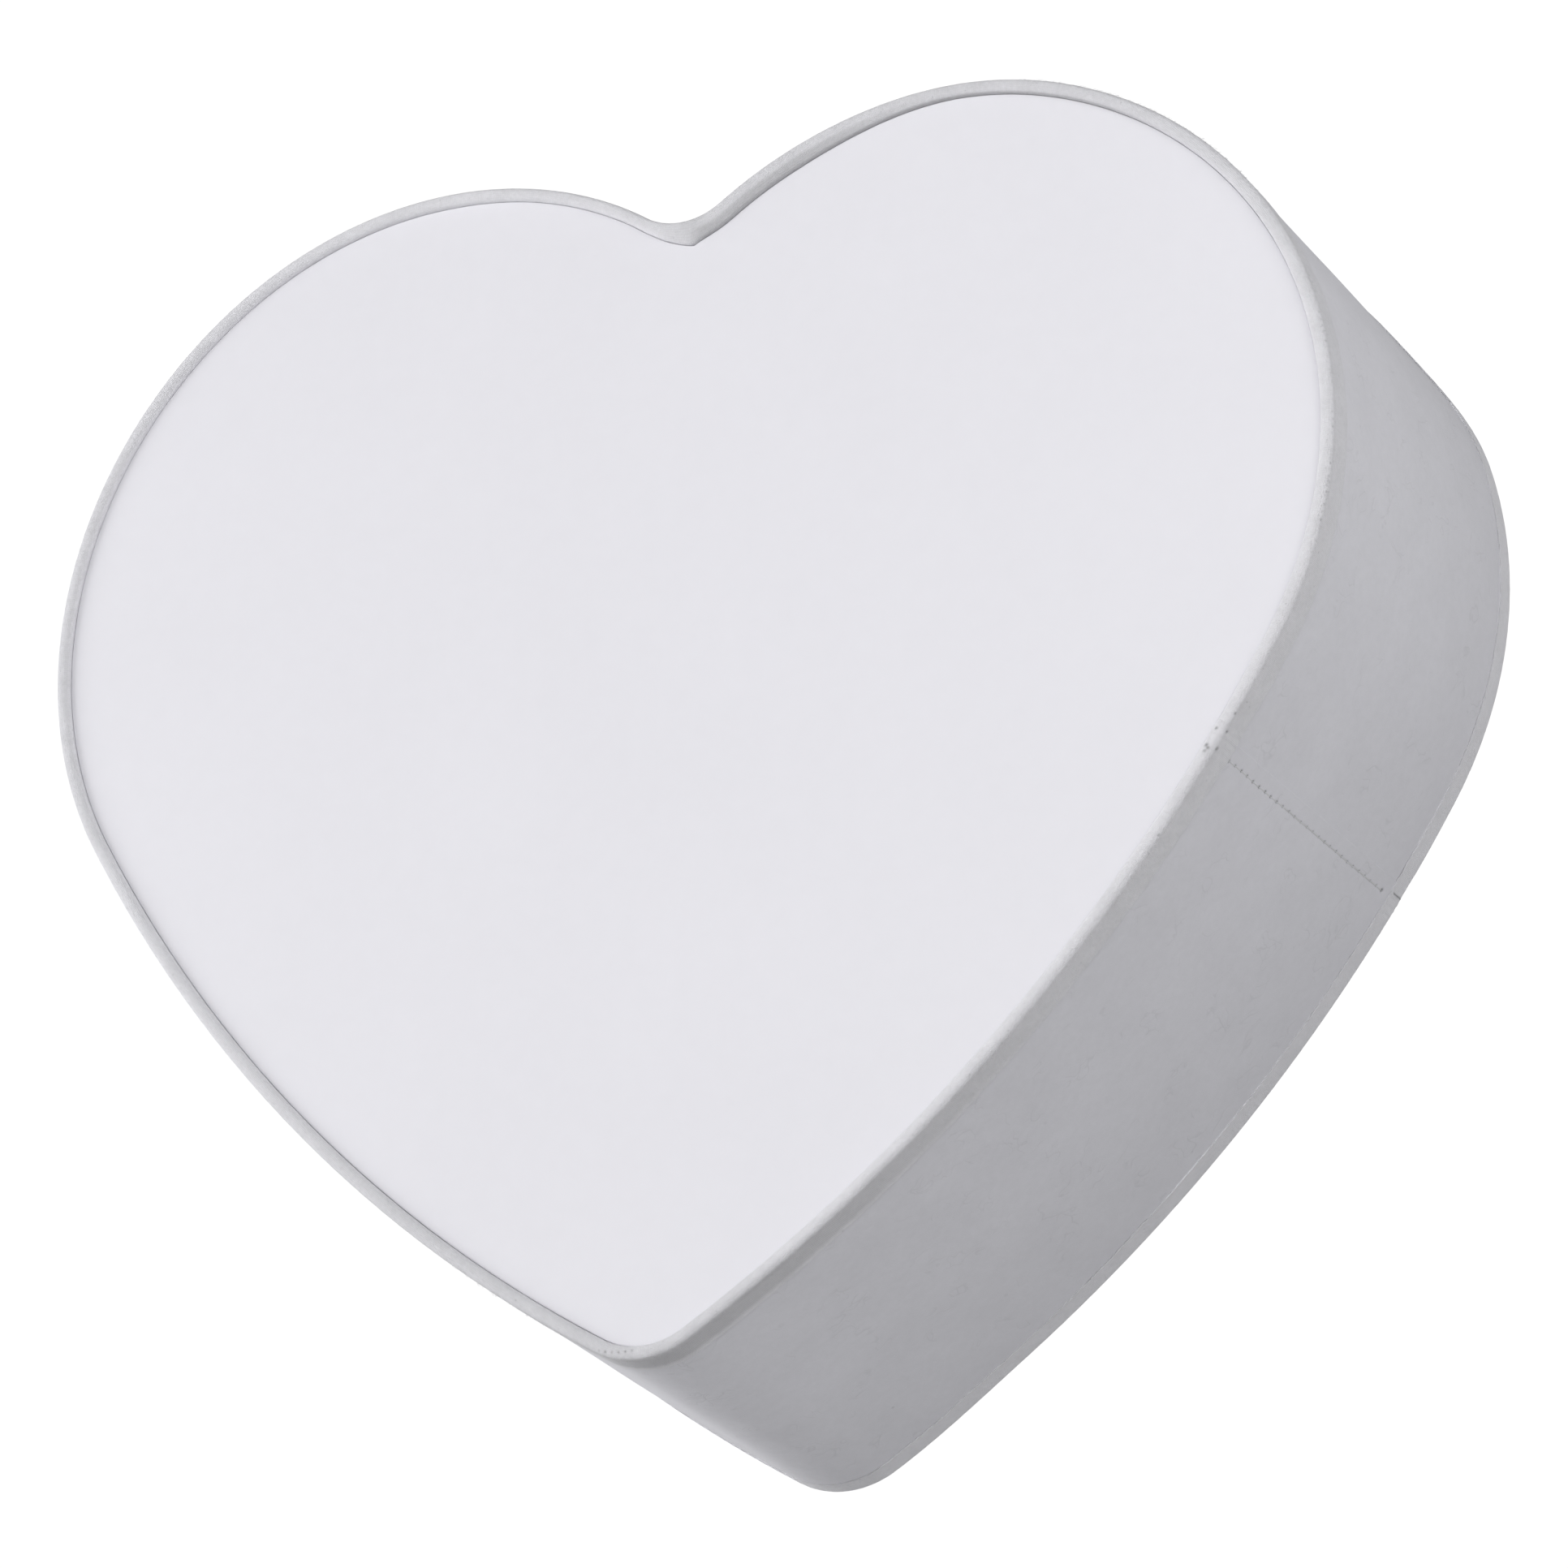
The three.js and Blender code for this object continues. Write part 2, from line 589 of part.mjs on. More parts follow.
function addHolder(frame, number) {
  const { length, radius, bore } = HOLDER;
  const floor = 12;
  const bodyRadius = radius - 2;
  const collar = length * 0.42;
  addAlongLamp(frame, `lampholder_${number}`, [
    [0, 0],
    [bodyRadius - 2, 0],
    [bodyRadius, 2],
    [bodyRadius, collar - 2],
    [radius, collar],
    [radius, length - 1],
    [radius - 1, length],
    [bore, length],
    [bore, floor],
    [0, floor],
  ], CERAMIC);
  const { inner, outer, start, end } = SCREW_SHELL;
  const shell = [[inner, start], [outer, start], [outer, end], [inner, end], [inner, start]];
  addAlongLamp(frame, `screw_shell_${number}`, shell, BRASS);
  const contact = [[0, CONTACT.start], [CONTACT.radius, CONTACT.start], [CONTACT.radius, CONTACT.end],
    [0, CONTACT.end]];
  addAlongLamp(frame, `centre_contact_${number}`, contact, BRASS);
}

function addGrommet(frame, number) {
  const { neck, bore, flange, lip } = GROMMET;
  const outerFace = -PAN.depth - GAP;
  const innerFace = -PAN.depth + PAN.sheet + GAP;
  const geometry = turned([
    [bore, outerFace - lip],
    [flange, outerFace - lip],
    [flange, outerFace],
    [neck, outerFace],
    [neck, innerFace],
    [flange, innerFace],
    [flange, innerFace + lip],
    [bore, innerFace + lip],
    [bore, outerFace - lip],
  ], 16);
  geometry.translate(LEAD_DROP, 0, 0);
  addPiece(frame, `grommet_${number}`, geometry, RUBBER);
}

// A lead from the lampholder's base, through the pan, to its terminal.
function addLead(chassis, number, degrees) {
  const entryX = TERMINAL_PITCH * Math.sign(Math.round(Math.cos(radians(degrees)) * 10));
  const blockFoot = TERMINAL_BLOCK.z - GAP;
  const pass = onSpoke(degrees, LEAD_DROP, -PAN.depth + 4);
  const inPan = -13;
  const points = [
    onSpoke(degrees, LAMP_BASE - GAP, LAMP_AXIS_Y),
    onSpoke(degrees, LAMP_BASE - 4, LAMP_AXIS_Y + 0.6),
    onSpoke(degrees, LEAD_DROP + 0.8, LAMP_AXIS_Y + 5.5),
    onSpoke(degrees, LEAD_DROP, LAMP_AXIS_Y + 13),
    onSpoke(degrees, LEAD_DROP, -PAN.depth - 6),
    pass,
    new THREE.Vector3(pass.x * 0.93, inPan - 2.5, pass.z * 0.86),
    new THREE.Vector3((pass.x + entryX) / 2, inPan + 1.2, Math.min(pass.z * 0.7, 10)),
    new THREE.Vector3(entryX, inPan + 1, 13),
    new THREE.Vector3(entryX, inPan, blockFoot),
  ];
  addPiece(chassis, `lamp_lead_${number}`, rod(points, LEAD_RADIUS, 30), LEAD_SHEATH);
}

// The globe's outline, moved inwards by inset: [radius, height] points from neck to crown.
function globeProfile(inset) {
  const neckZ = BULB_CAP.end + GAP;
  const centre = BULB_CAP.end + GLOBE.length - GLOBE.radius;
  const round = arcPoints(0, centre, GLOBE.radius - inset, -22, 90, 7);
  round[round.length - 1][0] = 0;
  return [
    [GLOBE.neck - inset, neckZ],
    [GLOBE.neck + 1.5 - inset, neckZ + 8],
    [(GLOBE.neck + GLOBE.radius) / 2 - inset, centre - GLOBE.radius],
    ...round,
  ];
}

// A screw cap with round threads, and a thin glass globe that stands open on the cap.
function addBulb(bulbs, degrees, number) {
  const frame = spokeFrame(bulbs, degrees);
  const { radius, root, start, end, threads, pitch } = BULB_CAP;
  const threadStart = end - 3 - threads * pitch;
  const cap = [[0, start], [4.5, start], [5, threadStart - 2.4], [root - 1, threadStart - 0.6]];
  for (let i = 0; i < threads; i += 1) {
    cap.push([root, threadStart + i * pitch], [radius, threadStart + (i + 0.5) * pitch]);
  }
  cap.push([root, threadStart + threads * pitch], [radius, end - 1.5], [radius, end], [0, end]);
  addAlongLamp(frame, `bulb_${number}_cap`, cap, CAP_METAL);
  const globe = [...globeProfile(GLOBE.glass).reverse(), ...globeProfile(0)];
  addAlongLamp(frame, `bulb_${number}_globe`, globe, GLASS);
}

// ---------------------------------------------------------------- assembly

const light = new THREE.Group();
const shade = new THREE.Group();
const chassis = new THREE.Group();
const bulbs = new THREE.Group();
light.add(chassis, bulbs, shade);

addWall(shade);
addRingWire(shade, 'front_ring_wire', SHADE_FRONT_Y, -1);
addRingWire(shade, 'back_ring_wire', SHADE_BACK_Y, 1);
addTrimTape(shade, 'front_trim_tape', SHADE_FRONT_Y, -1, FRONT_TAPE_TURN, []);
const rodSlots = Object.values(SPIDER_ARMS).map((degrees) => spiderRod(degrees, SPIDER_ROD_RADIUS + GAP));
addTrimTape(shade, 'back_trim_tape', SHADE_BACK_Y, 1, BACK_TAPE_TURN, rodSlots);
addDiffuser(shade);
addDiffuserClips(shade);
addSeam(shade);
addSpider(shade);

addStrap(chassis);
addStudsAndNuts(chassis);
addPan(chassis);
addSpringClips(chassis);
addTerminals(chassis);
addEarth(chassis);

LAMP_ANGLES.forEach((degrees, i) => {
  const number = i + 1;
  const frame = spokeFrame(chassis, degrees);
  addBracket(frame, number);
  addHolder(frame, number);
  addGrommet(frame, number);
  addLead(chassis, number, degrees);
  addBulb(bulbs, degrees, number);
});

export default light;
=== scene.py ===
import json
import math

import bmesh
import bpy
import numpy as np
from mathutils import Matrix, Vector

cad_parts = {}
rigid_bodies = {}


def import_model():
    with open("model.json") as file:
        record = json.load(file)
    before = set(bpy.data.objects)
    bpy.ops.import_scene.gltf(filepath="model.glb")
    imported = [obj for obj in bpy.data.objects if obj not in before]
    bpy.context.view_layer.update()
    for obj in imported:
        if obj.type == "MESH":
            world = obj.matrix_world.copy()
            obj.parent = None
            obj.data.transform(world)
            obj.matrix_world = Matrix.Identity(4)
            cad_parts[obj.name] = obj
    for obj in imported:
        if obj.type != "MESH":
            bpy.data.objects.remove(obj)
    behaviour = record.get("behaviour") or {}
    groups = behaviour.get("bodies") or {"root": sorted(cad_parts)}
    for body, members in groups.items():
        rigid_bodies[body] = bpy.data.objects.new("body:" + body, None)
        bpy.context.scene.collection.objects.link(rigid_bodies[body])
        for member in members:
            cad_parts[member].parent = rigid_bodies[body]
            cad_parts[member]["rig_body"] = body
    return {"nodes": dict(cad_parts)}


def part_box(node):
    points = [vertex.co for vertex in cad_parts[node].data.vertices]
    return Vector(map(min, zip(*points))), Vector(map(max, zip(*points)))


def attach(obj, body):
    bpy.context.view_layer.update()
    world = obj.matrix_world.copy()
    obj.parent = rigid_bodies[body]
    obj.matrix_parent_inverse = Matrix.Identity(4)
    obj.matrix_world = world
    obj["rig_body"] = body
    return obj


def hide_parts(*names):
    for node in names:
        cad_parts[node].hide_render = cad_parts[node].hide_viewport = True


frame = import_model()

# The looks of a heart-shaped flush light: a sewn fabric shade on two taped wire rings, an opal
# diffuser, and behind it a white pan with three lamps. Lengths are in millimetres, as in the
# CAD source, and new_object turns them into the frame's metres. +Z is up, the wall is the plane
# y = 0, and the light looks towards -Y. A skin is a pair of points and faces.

MM = 0.001

for left_over in [o for o in bpy.data.objects if o.type in ("MESH", "LIGHT", "CAMERA")]:
    if "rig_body" not in left_over:
        bpy.data.objects.remove(left_over)
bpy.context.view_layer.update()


def cad_corners(node):
    """The lowest and highest corners of a CAD node."""
    return [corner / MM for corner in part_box(node)]


# ---------------- dimensions of the frame

CLEFT_Z = 165.0
# (radius, heading in degrees where the arc ends, hollow) for the right half of the heart
HEART_ARCS = [
    (26.0, 34.4, True),
    (148.4, -36.0, False),
    (155.8, -120.0, False),
    (595.0, -149.3, False),
]
TIP_HEADING = -180.0

FRONT_Y = -156.0
BACK_Y = -3.0
FRONT_TURN = 12.0
BACK_TURN = 9.5

LAMP_ANGLES = (30, 150, 270)
LAMP_AXIS_Y = -62.0
LAMP_BASE = 38.0
SPIDER_ARMS = {"top": 90, "left": 210, "right": 330}
PAN_RADIUS = 85.0
PAN_DEPTH = 24.0
PAN_FRONT_Y = -PAN_DEPTH
STUD_X = 58.0
GROMMET_REACH = 29.5

SEAM_LOW, SEAM_HIGH = cad_corners("seam_thread_outer")


# ---------------- the heart's outline

def heart_segments():
    """The arcs of the right half: start length, start heading, side, radius, centre."""
    x, z, heading, length = 0.0, CLEFT_Z, 0.0, 0.0
    segments = []
    for radius, end, hollow in [*HEART_ARCS, (None, TIP_HEADING, False)]:
        if radius is None:
            radius = -x / math.sin(math.radians(heading))
        side = 1.0 if hollow else -1.0
        turn = math.radians(heading)
        centre = (x - side * radius * math.sin(turn), z + side * radius * math.cos(turn))
        segments.append((length, turn, side, radius, centre))
        length += radius * math.radians(abs(end - heading))
        turn = math.radians(end)
        x = centre[0] + side * radius * math.sin(turn)
        z = centre[1] - side * radius * math.cos(turn)
        heading = end
    return segments, length


# Lengths run clockwise from the cleft: the right lobe's top is at 105, the right shoulder near
# 243, the seam at 467, the tip at 749, and the left arm follows.
SEGMENTS, HALF_LENGTH = heart_segments()
OUTLINE_LENGTH = 2 * HALF_LENGTH


def outline(lengths):
    """Points (x, z) and outward normals of the outline at lengths from the cleft, clockwise."""
    s = np.mod(np.asarray(lengths, float), OUTLINE_LENGTH)
    mirrored = s > HALF_LENGTH
    s = np.where(mirrored, OUTLINE_LENGTH - s, s)
    points = np.zeros((len(s), 2))
    normals = np.zeros((len(s), 2))
    for start, turn_0, side, radius, centre in SEGMENTS:
        here = s >= start - 1e-9
        turn = turn_0 + side * (s - start) / radius
        x = centre[0] + side * radius * np.sin(turn)
        z = centre[1] - side * radius * np.cos(turn)
        points[here] = np.column_stack([x, z])[here]
        normals[here] = np.column_stack([-np.sin(turn), np.cos(turn)])[here]
    points[mirrored, 0] *= -1
    normals[mirrored, 0] *= -1
    return points, normals


def wrapped(length):
    """A length round the outline, brought into minus half to plus half of it."""
    return np.mod(length + HALF_LENGTH, OUTLINE_LENGTH) - HALF_LENGTH


def nearer(length, middle):
    """The same place, as a length within half the outline of a middle."""
    return length - OUTLINE_LENGTH if length > middle + HALF_LENGTH else length


def bell(distance, width):
    """1 at no distance, and almost 0 from two widths on."""
    return np.exp(-((distance / width) ** 2))


def smooth_step(value, low, high):
    """Rises smoothly from 0 at low to 1 at high."""
    t = np.clip((value - low) / (high - low), 0, 1)
    return t * t * (3 - 2 * t)


def plateau(value, low, full, last, end):
    """Rises from 0 to 1 between low and full, and falls back between last and end."""
    return smooth_step(value, low, full) * (1 - smooth_step(value, last, end))


def sag(lengths, y):
    """How far the sewn shade stands outside its true outline: its back is flattened at the
    right shoulder and stands out at the tip, and the front of the right lobe is a little full."""
    s = np.mod(lengths, OUTLINE_LENGTH)
    share = np.clip((y - FRONT_Y) / (BACK_Y - FRONT_Y), 0, 1)
    shoulder = -1.8 * (1 + np.cos(np.pi * np.clip((s - 243) / 56, -1, 1)))
    tip = 1.6 * plateau(s, 670, 730, 850, 930)
    lobe = bell(s - 120, 48)
    return share * (shoulder + tip) + (1 - share) * lobe


def on_outline(lengths, inset, y):
    """Points (x, y, z) at a distance inside the sagged outline. Each may be a number or a row."""
    lengths, inset, y = np.broadcast_arrays(*map(np.atleast_1d, (lengths, inset, y)))
    points, normals = outline(lengths)
    place = points - normals * (inset - sag(lengths, y))[:, None]
    return np.column_stack([place[:, 0], y, place[:, 1]])


def outline_steps(fine, coarse):
    """Lengths round the outline: coarse steps on the wide arcs, fine at the cleft and the tip."""
    tight_radius = 60
    marks = [0.0]
    bounds = [segment[0] for segment in SEGMENTS[1:]] + [HALF_LENGTH]
    for end, segment in zip(bounds, SEGMENTS):
        step = fine if segment[3] < tight_radius else coarse
        count = max(2, round((end - marks[-1]) / step))
        marks.extend(np.linspace(marks[-1], end, count + 1)[1:])
    right = np.array(marks)
    left = OUTLINE_LENGTH - right[::-1][1:-1]
    return np.concatenate([right, left])


def length_nearest(x, z):
    """The length whose point on the outline is nearest to a place."""
    lengths = np.arange(0, OUTLINE_LENGTH, 0.05)
    points, _ = outline(lengths)
    return lengths[np.argmin(np.hypot(points[:, 0] - x, points[:, 1] - z))]


SEAM_MIDDLE = (SEAM_LOW + SEAM_HIGH) / 2
SEAM_S = length_nearest(SEAM_MIDDLE.x, SEAM_MIDDLE.z)


def ripple(u, v, waves, seed):
    """A smooth random height in -1..1 from a few sine waves; waves are (length along u, along v)."""
    draw = np.random.RandomState(seed)
    total = np.zeros(np.broadcast(u, v).shape)
    for across, along in waves:
        turns = 2 * np.pi * (u / across * draw.uniform(0.8, 1.2) + v / along * draw.uniform(-1, 1))
        total = total + np.sin(turns + draw.uniform(0, 2 * np.pi))
    return total / len(waves)


# ---------------- mesh making

def new_object(name, points, faces):
    """An object from points in millimetres, with its normals out."""
    mesh = bpy.data.meshes.new(name)
    mesh.from_pydata((np.asarray(points, float) * MM).tolist(), [], faces)
    work = bmesh.new()
    work.from_mesh(mesh)
    bmesh.ops.recalc_face_normals(work, faces=work.faces)
    work.to_mesh(mesh)
    work.free()
    return linked(bpy.data.objects.new(name, mesh))


def linked(obj):
    """The object, once it is in the scene."""
    bpy.context.scene.collection.objects.link(obj)
    return obj


def finish_surface(mesh, crease):
    """Smooth shading, but for edges sharper than the crease angle."""
    mesh.shade_smooth()
    mesh.set_sharp_from_angle(angle=math.radians(crease))


def add_piece(name, skin, slot, body="shade", node=None, crease=40, material=None, attributes=None):
    """A piece that rides on a CAD body, with its slot's material, in place of a CAD node."""
    obj = new_object(name, *skin)
    for label, values in (attributes or {}).items():
        values = np.asarray(values, np.float32)
        kind, field = ("FLOAT", "value") if values.ndim == 1 else ("FLOAT_VECTOR", "vector")
        layer = obj.data.attributes.new(label, kind, "POINT")
        layer.data.foreach_set(field, values.ravel())
    finish_surface(obj.data, crease)
    obj.data.materials.append(material or MATERIALS[slot])
    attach(obj, body)
    if node:
        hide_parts(node)
    return obj


def stand_in(node, suffix, skin, slot, body="chassis", crease=40):
    """A piece named after the CAD node that it replaces."""
    return add_piece(f"{node}_{suffix}", skin, slot, body, node, crease)


def apply_modifiers(obj, crease=40):
    """Swaps the object's mesh for the one that its modifiers make."""
    evaluated = obj.evaluated_get(bpy.context.evaluated_depsgraph_get())
    made = bpy.data.meshes.new_from_object(evaluated)
    obj.modifiers.clear()
    obj.data = made
    finish_surface(made, crease)


def combine(obj, skins, operation="DIFFERENCE", crease=40):
    """Takes closed skins out of the object, or joins them to it."""
    tools = [new_object("tool", *skin) for skin in skins]
    for tool in tools:
        modifier = obj.modifiers.new("combine", "BOOLEAN")
        modifier.operation = operation
        modifier.solver = "EXACT"
        modifier.object = tool
    apply_modifiers(obj, crease)
    for tool in tools:
        bpy.data.objects.remove(tool)


def soften_edges(obj, width):
    """A small bevel on the sharp edges."""
    bevel = obj.modifiers.new("soft_edges", "BEVEL")
    bevel.width = width * MM
    bevel.segments = 2
    bevel.limit_method = "ANGLE"


def full_turn(sides):
    """Evenly spaced angles once round."""
    return 2 * np.pi * np.arange(sides) / sides


def round_ring(radius, height, sides):
    """Points round the +Y axis; radius may vary round it."""
    turns = full_turn(sides)
    return np.column_stack([radius * np.cos(turns), np.full(sides, height), radius * np.sin(turns)])


def loft(rings, closed=False):
    """A skin over a list of equal rings of points: a closed loop of them, or capped at the ends."""
    points = np.concatenate([np.asarray(ring, float) for ring in rings])
    count = len(rings[0])
    faces = []
    for j in range(len(rings) if closed else len(rings) - 1):
        here = j * count
        there = (j + 1) % len(rings) * count
        for i in range(count):
            k = (i + 1) % count
            faces.append((here + i, here + k, there + k, there + i))
    if not closed:
        faces.append(tuple(range(count)))
        faces.append(tuple(range(len(points) - count, len(points))))
    return points, faces


def lathe(profile, sides=72):
    """A closed skin of (radius, height) points turned about +Y. A first or last point on the
    axis becomes a pole, and a profile off the axis closes on itself."""
    points, faces, rows = [], [], []
    for radius, height in profile:
        ring = round_ring(radius, height, 1 if radius < 1e-6 else sides)
        rows.append(range(len(points), len(points) + len(ring)))
        points.extend(ring)
    pairs = list(zip(rows, rows[1:]))
    if len(rows[0]) > 1:
        pairs.append((rows[-1], rows[0]))
    for a, b in pairs:
        for i in range(sides):
            k = (i + 1) % sides
            corners = (a[i % len(a)], b[i % len(b)], b[k % len(b)], a[k % len(a)])
            faces.append(tuple(dict.fromkeys(corners)))
    return np.array(points), faces


def arc(x, y, radius, start, end, steps):
    """Points on an arc between two angles in degrees."""
    turns = np.radians(np.linspace(start, end, steps + 1))
    return [(x + radius * math.cos(t), y + radius * math.sin(t)) for t in turns]


def rounded(corners, radius, steps):
    """A closed outline with its corners rounded off."""
    result = []
    count = len(corners)
    for i, corner in enumerate(corners):
        here = np.array(corner, float)
        before = np.array(corners[i - 1], float) - here
        after = np.array(corners[(i + 1) % count], float) - here
        reach = min(radius, 0.49 * np.linalg.norm(before), 0.49 * np.linalg.norm(after))
        start = here + before / np.linalg.norm(before) * reach
        end = here + after / np.linalg.norm(after) * reach
        for t in np.linspace(0, 1, steps + 1):
            result.append(tuple((1 - t) ** 2 * start + 2 * t * (1 - t) * here + t ** 2 * end))
    return result


def smooth_path(points, per_span):
    """A centripetal Catmull-Rom curve through the points, as the CAD source draws its rods."""
    points = [np.array(p, float) for p in points]
    points = [2 * points[0] - points[1], *points, 2 * points[-1] - points[-2]]
    result = []
    for p0, p1, p2, p3 in zip(points, points[1:], points[2:], points[3:]):
        knots = [0.0]
        for a, b in ((p0, p1), (p1, p2), (p2, p3)):
            knots.append(knots[-1] + max(np.linalg.norm(b - a) ** 0.5, 1e-4))
        t0, t1, t2, t3 = knots
        for t in np.linspace(t1, t2, per_span, endpoint=False):
            a1 = (t1 - t) / (t1 - t0) * p0 + (t - t0) / (t1 - t0) * p1
            a2 = (t2 - t) / (t2 - t1) * p1 + (t - t1) / (t2 - t1) * p2
            a3 = (t3 - t) / (t3 - t2) * p2 + (t - t2) / (t3 - t2) * p3
            b1 = (t2 - t) / (t2 - t0) * a1 + (t - t0) / (t2 - t0) * a2
            b2 = (t3 - t) / (t3 - t1) * a2 + (t - t1) / (t3 - t1) * a3
            result.append((t2 - t) / (t2 - t1) * b1 + (t - t1) / (t2 - t1) * b2)
    result.append(points[-2])
    return np.array(result)


def tube(path, radius, sides):
    """A closed round tube along a path; radius may vary along it."""
    path = np.asarray(path, float)
    tangents = np.gradient(path, axis=0)
    tangents /= np.linalg.norm(tangents, axis=1)[:, None]
    radii = np.broadcast_to(radius, len(path))
    side = np.cross(tangents[0], (0.0, 0.0, 1.0))
    if np.linalg.norm(side) < 0.1:
        side = np.cross(tangents[0], (0.0, 1.0, 0.0))
    turns = full_turn(sides)
    rings = []
    for point, tangent, size in zip(path, tangents, radii):
        side = side - tangent * (side @ tangent)
        side /= np.linalg.norm(side)
        other = np.cross(tangent, side)
        rings.append([point + size * (math.cos(t) * side + math.sin(t) * other) for t in turns])
    return loft(rings)


def joined(skins):
    """Several skins as one."""
    points, faces, start = [], [], 0
    for part_points, part_faces in skins:
        points.append(np.asarray(part_points, float))
        faces.extend(tuple(start + i for i in face) for face in part_faces)
        start += len(part_points)
    return np.concatenate(points), faces


def moved(skin, offset):
    """A skin shifted by an offset."""
    return skin[0] + np.array(offset), skin[1]


def box_mesh(low, high):
    """The skin of a box between two corners."""
    points = [(x, y, z) for x in (low[0], high[0]) for y in (low[1], high[1]) for z in (low[2], high[2])]
    faces = [(0, 1, 3, 2), (4, 6, 7, 5), (0, 4, 5, 1), (2, 3, 7, 6), (0, 2, 6, 4), (1, 5, 7, 3)]
    return points, faces


def pin(radius, low, high, sides=32):
    """A round pin along +Y between two heights, to drill a hole with."""
    return lathe([(0, low), (radius, low), (radius, high), (0, high)], sides)


def extruded(outline_points, low, high, bevel):
    """A closed plate in X and Z between two heights of y, with small bevels."""
    ring = np.array(outline_points)
    step = np.roll(ring, -1, axis=0) - np.roll(ring, 1, axis=0)
    normal = np.column_stack([step[:, 1], -step[:, 0]])
    normal /= np.linalg.norm(normal, axis=1)[:, None]
    rings = []
    for inset, y in ((bevel, low), (0, low + bevel), (0, high - bevel), (bevel, high)):
        shrunk = ring - normal * inset
        rings.append(np.column_stack([shrunk[:, 0], np.full(len(ring), y), shrunk[:, 1]]))
    return loft(rings)


def on_spoke(degrees, distance, y):
    """The point at a distance along a spoke round the chassis."""
    turn = math.radians(degrees)
    return np.array((distance * math.cos(turn), y, distance * math.sin(turn)))


def along_lamp(skin, degrees):
    """Lays a skin turned about +Y along a lamp's axis, which is a spoke round the chassis."""
    c, _, s = on_spoke(degrees, 1, 0)
    x, y, z = skin[0].T
    out = LAMP_BASE + y
    return np.column_stack([out * c - z * s, LAMP_AXIS_Y - x, out * s + z * c]), skin[1]


# ---------------- material making

class Shader:
    """A Principled material, with short calls for the nodes that feed it."""

    def __init__(self, name, color, roughness, **sockets):
        self.material = bpy.data.materials.new(name)
        self.material.use_nodes = True
        self.tree = self.material.node_tree
        self.bsdf = self.tree.nodes["Principled BSDF"]
        self.color = color
        self.height = None
        self.bsdf.inputs["Base Color"].default_value = (*color, 1)
        self.bsdf.inputs["Roughness"].default_value = roughness
        for socket, value in sockets.items():
            self.bsdf.inputs[socket.replace("_", " ")].default_value = value

    def node(self, kind, inputs=None, **settings):
        made = self.tree.nodes.new("ShaderNode" + kind)
        for key, value in settings.items():
            setattr(made, key, value)
        for key, value in (inputs or {}).items():
            self.feed(made.inputs[key], value)
        return made

    def feed(self, socket, value):
        if isinstance(value, bpy.types.NodeSocket):
            self.tree.links.new(value, socket)
        else:
            socket.default_value = value

    def place(self, stretch=(1, 1, 1)):
        """Object coordinates in metres, stretched."""
        source = self.node("TexCoord").outputs["Object"]
        return self.node("Mapping", {"Vector": source, "Scale": stretch}).outputs["Vector"]

    def cloth(self, stretch, turn=0.0):
        """Coordinates along and across the cloth in metres, stretched."""
        source = self.node("Attribute", attribute_name="cloth").outputs["Vector"]
        settings = {"Vector": source, "Scale": stretch, "Rotation": (0, 0, turn)}
        return self.node("Mapping", settings).outputs["Vector"]

    def painted(self, name):
        """A number that the mesh holds at each point."""
        return self.node("Attribute", attribute_name=name).outputs["Fac"]

    def noise(self, size, detail=2.0, roughness=0.5, where=None):
        """Noise of about 0..1 with features of a given size in millimetres."""
        vector = self.place() if where is None else where
        inputs = {"Vector": vector, "Scale": 1 / (size * MM), "Detail": detail, "Roughness": roughness}
        return self.node("TexNoise", inputs).outputs["Fac"]

    def spots(self, density, size, feature="F1", where=None):
        """1 in the middle of scattered cells, or on their edges, and 0 from a distance on."""
        vector = self.place() if where is None else where
        cells = self.node("TexVoronoi", {"Vector": vector, "Scale": density}, feature=feature)
        return self.spread(cells.outputs["Distance"], 0.0, size, 1.0, 0.0)

    def math(self, operation, a, b=0.0):
        made = self.node("Math", operation=operation)
        self.feed(made.inputs[0], a)
        self.feed(made.inputs[1], b)
        return made.outputs[0]

    def spread(self, value, low, high, to_low=0.0, to_high=1.0):
        """Maps low..high to to_low..to_high, and holds the ends."""
        names = {"Value": value, "From Min": low, "From Max": high, "To Min": to_low, "To Max": to_high}
        return self.node("MapRange", names).outputs["Result"]

    def swing(self, noise, to_low, to_high):
        """The usual range of a noise, mapped to two ends."""
        return self.spread(noise, 0.3, 0.7, to_low, to_high)

    def fade(self, mask, factor):
        """1 where the mask is 0, and the factor where it is 1."""
        return self.spread(mask, 0.0, 1.0, 1.0, factor)

    def tint(self, *factors):
        """Multiplies the base colour by factors that vary over the surface."""
        shade = factors[0]
        for factor in factors[1:]:
            shade = self.math("MULTIPLY", shade, factor)
        scaled = self.node("VectorMath", {0: self.color, "Scale": shade}, operation="SCALE")
        self.feed(self.bsdf.inputs["Base Color"], scaled.outputs[0])

    def bump(self, height, depth):
        """Adds a bump of a depth in millimetres on top of the earlier ones."""
        inputs = {"Height": height, "Distance": depth * MM, "Strength": 1.0}
        if self.height is not None:
            inputs["Normal"] = self.height
        self.height = self.node("Bump", inputs).outputs["Normal"]
        self.feed(self.bsdf.inputs["Normal"], self.height)

    def rough(self, value):
        self.feed(self.bsdf.inputs["Roughness"], value)


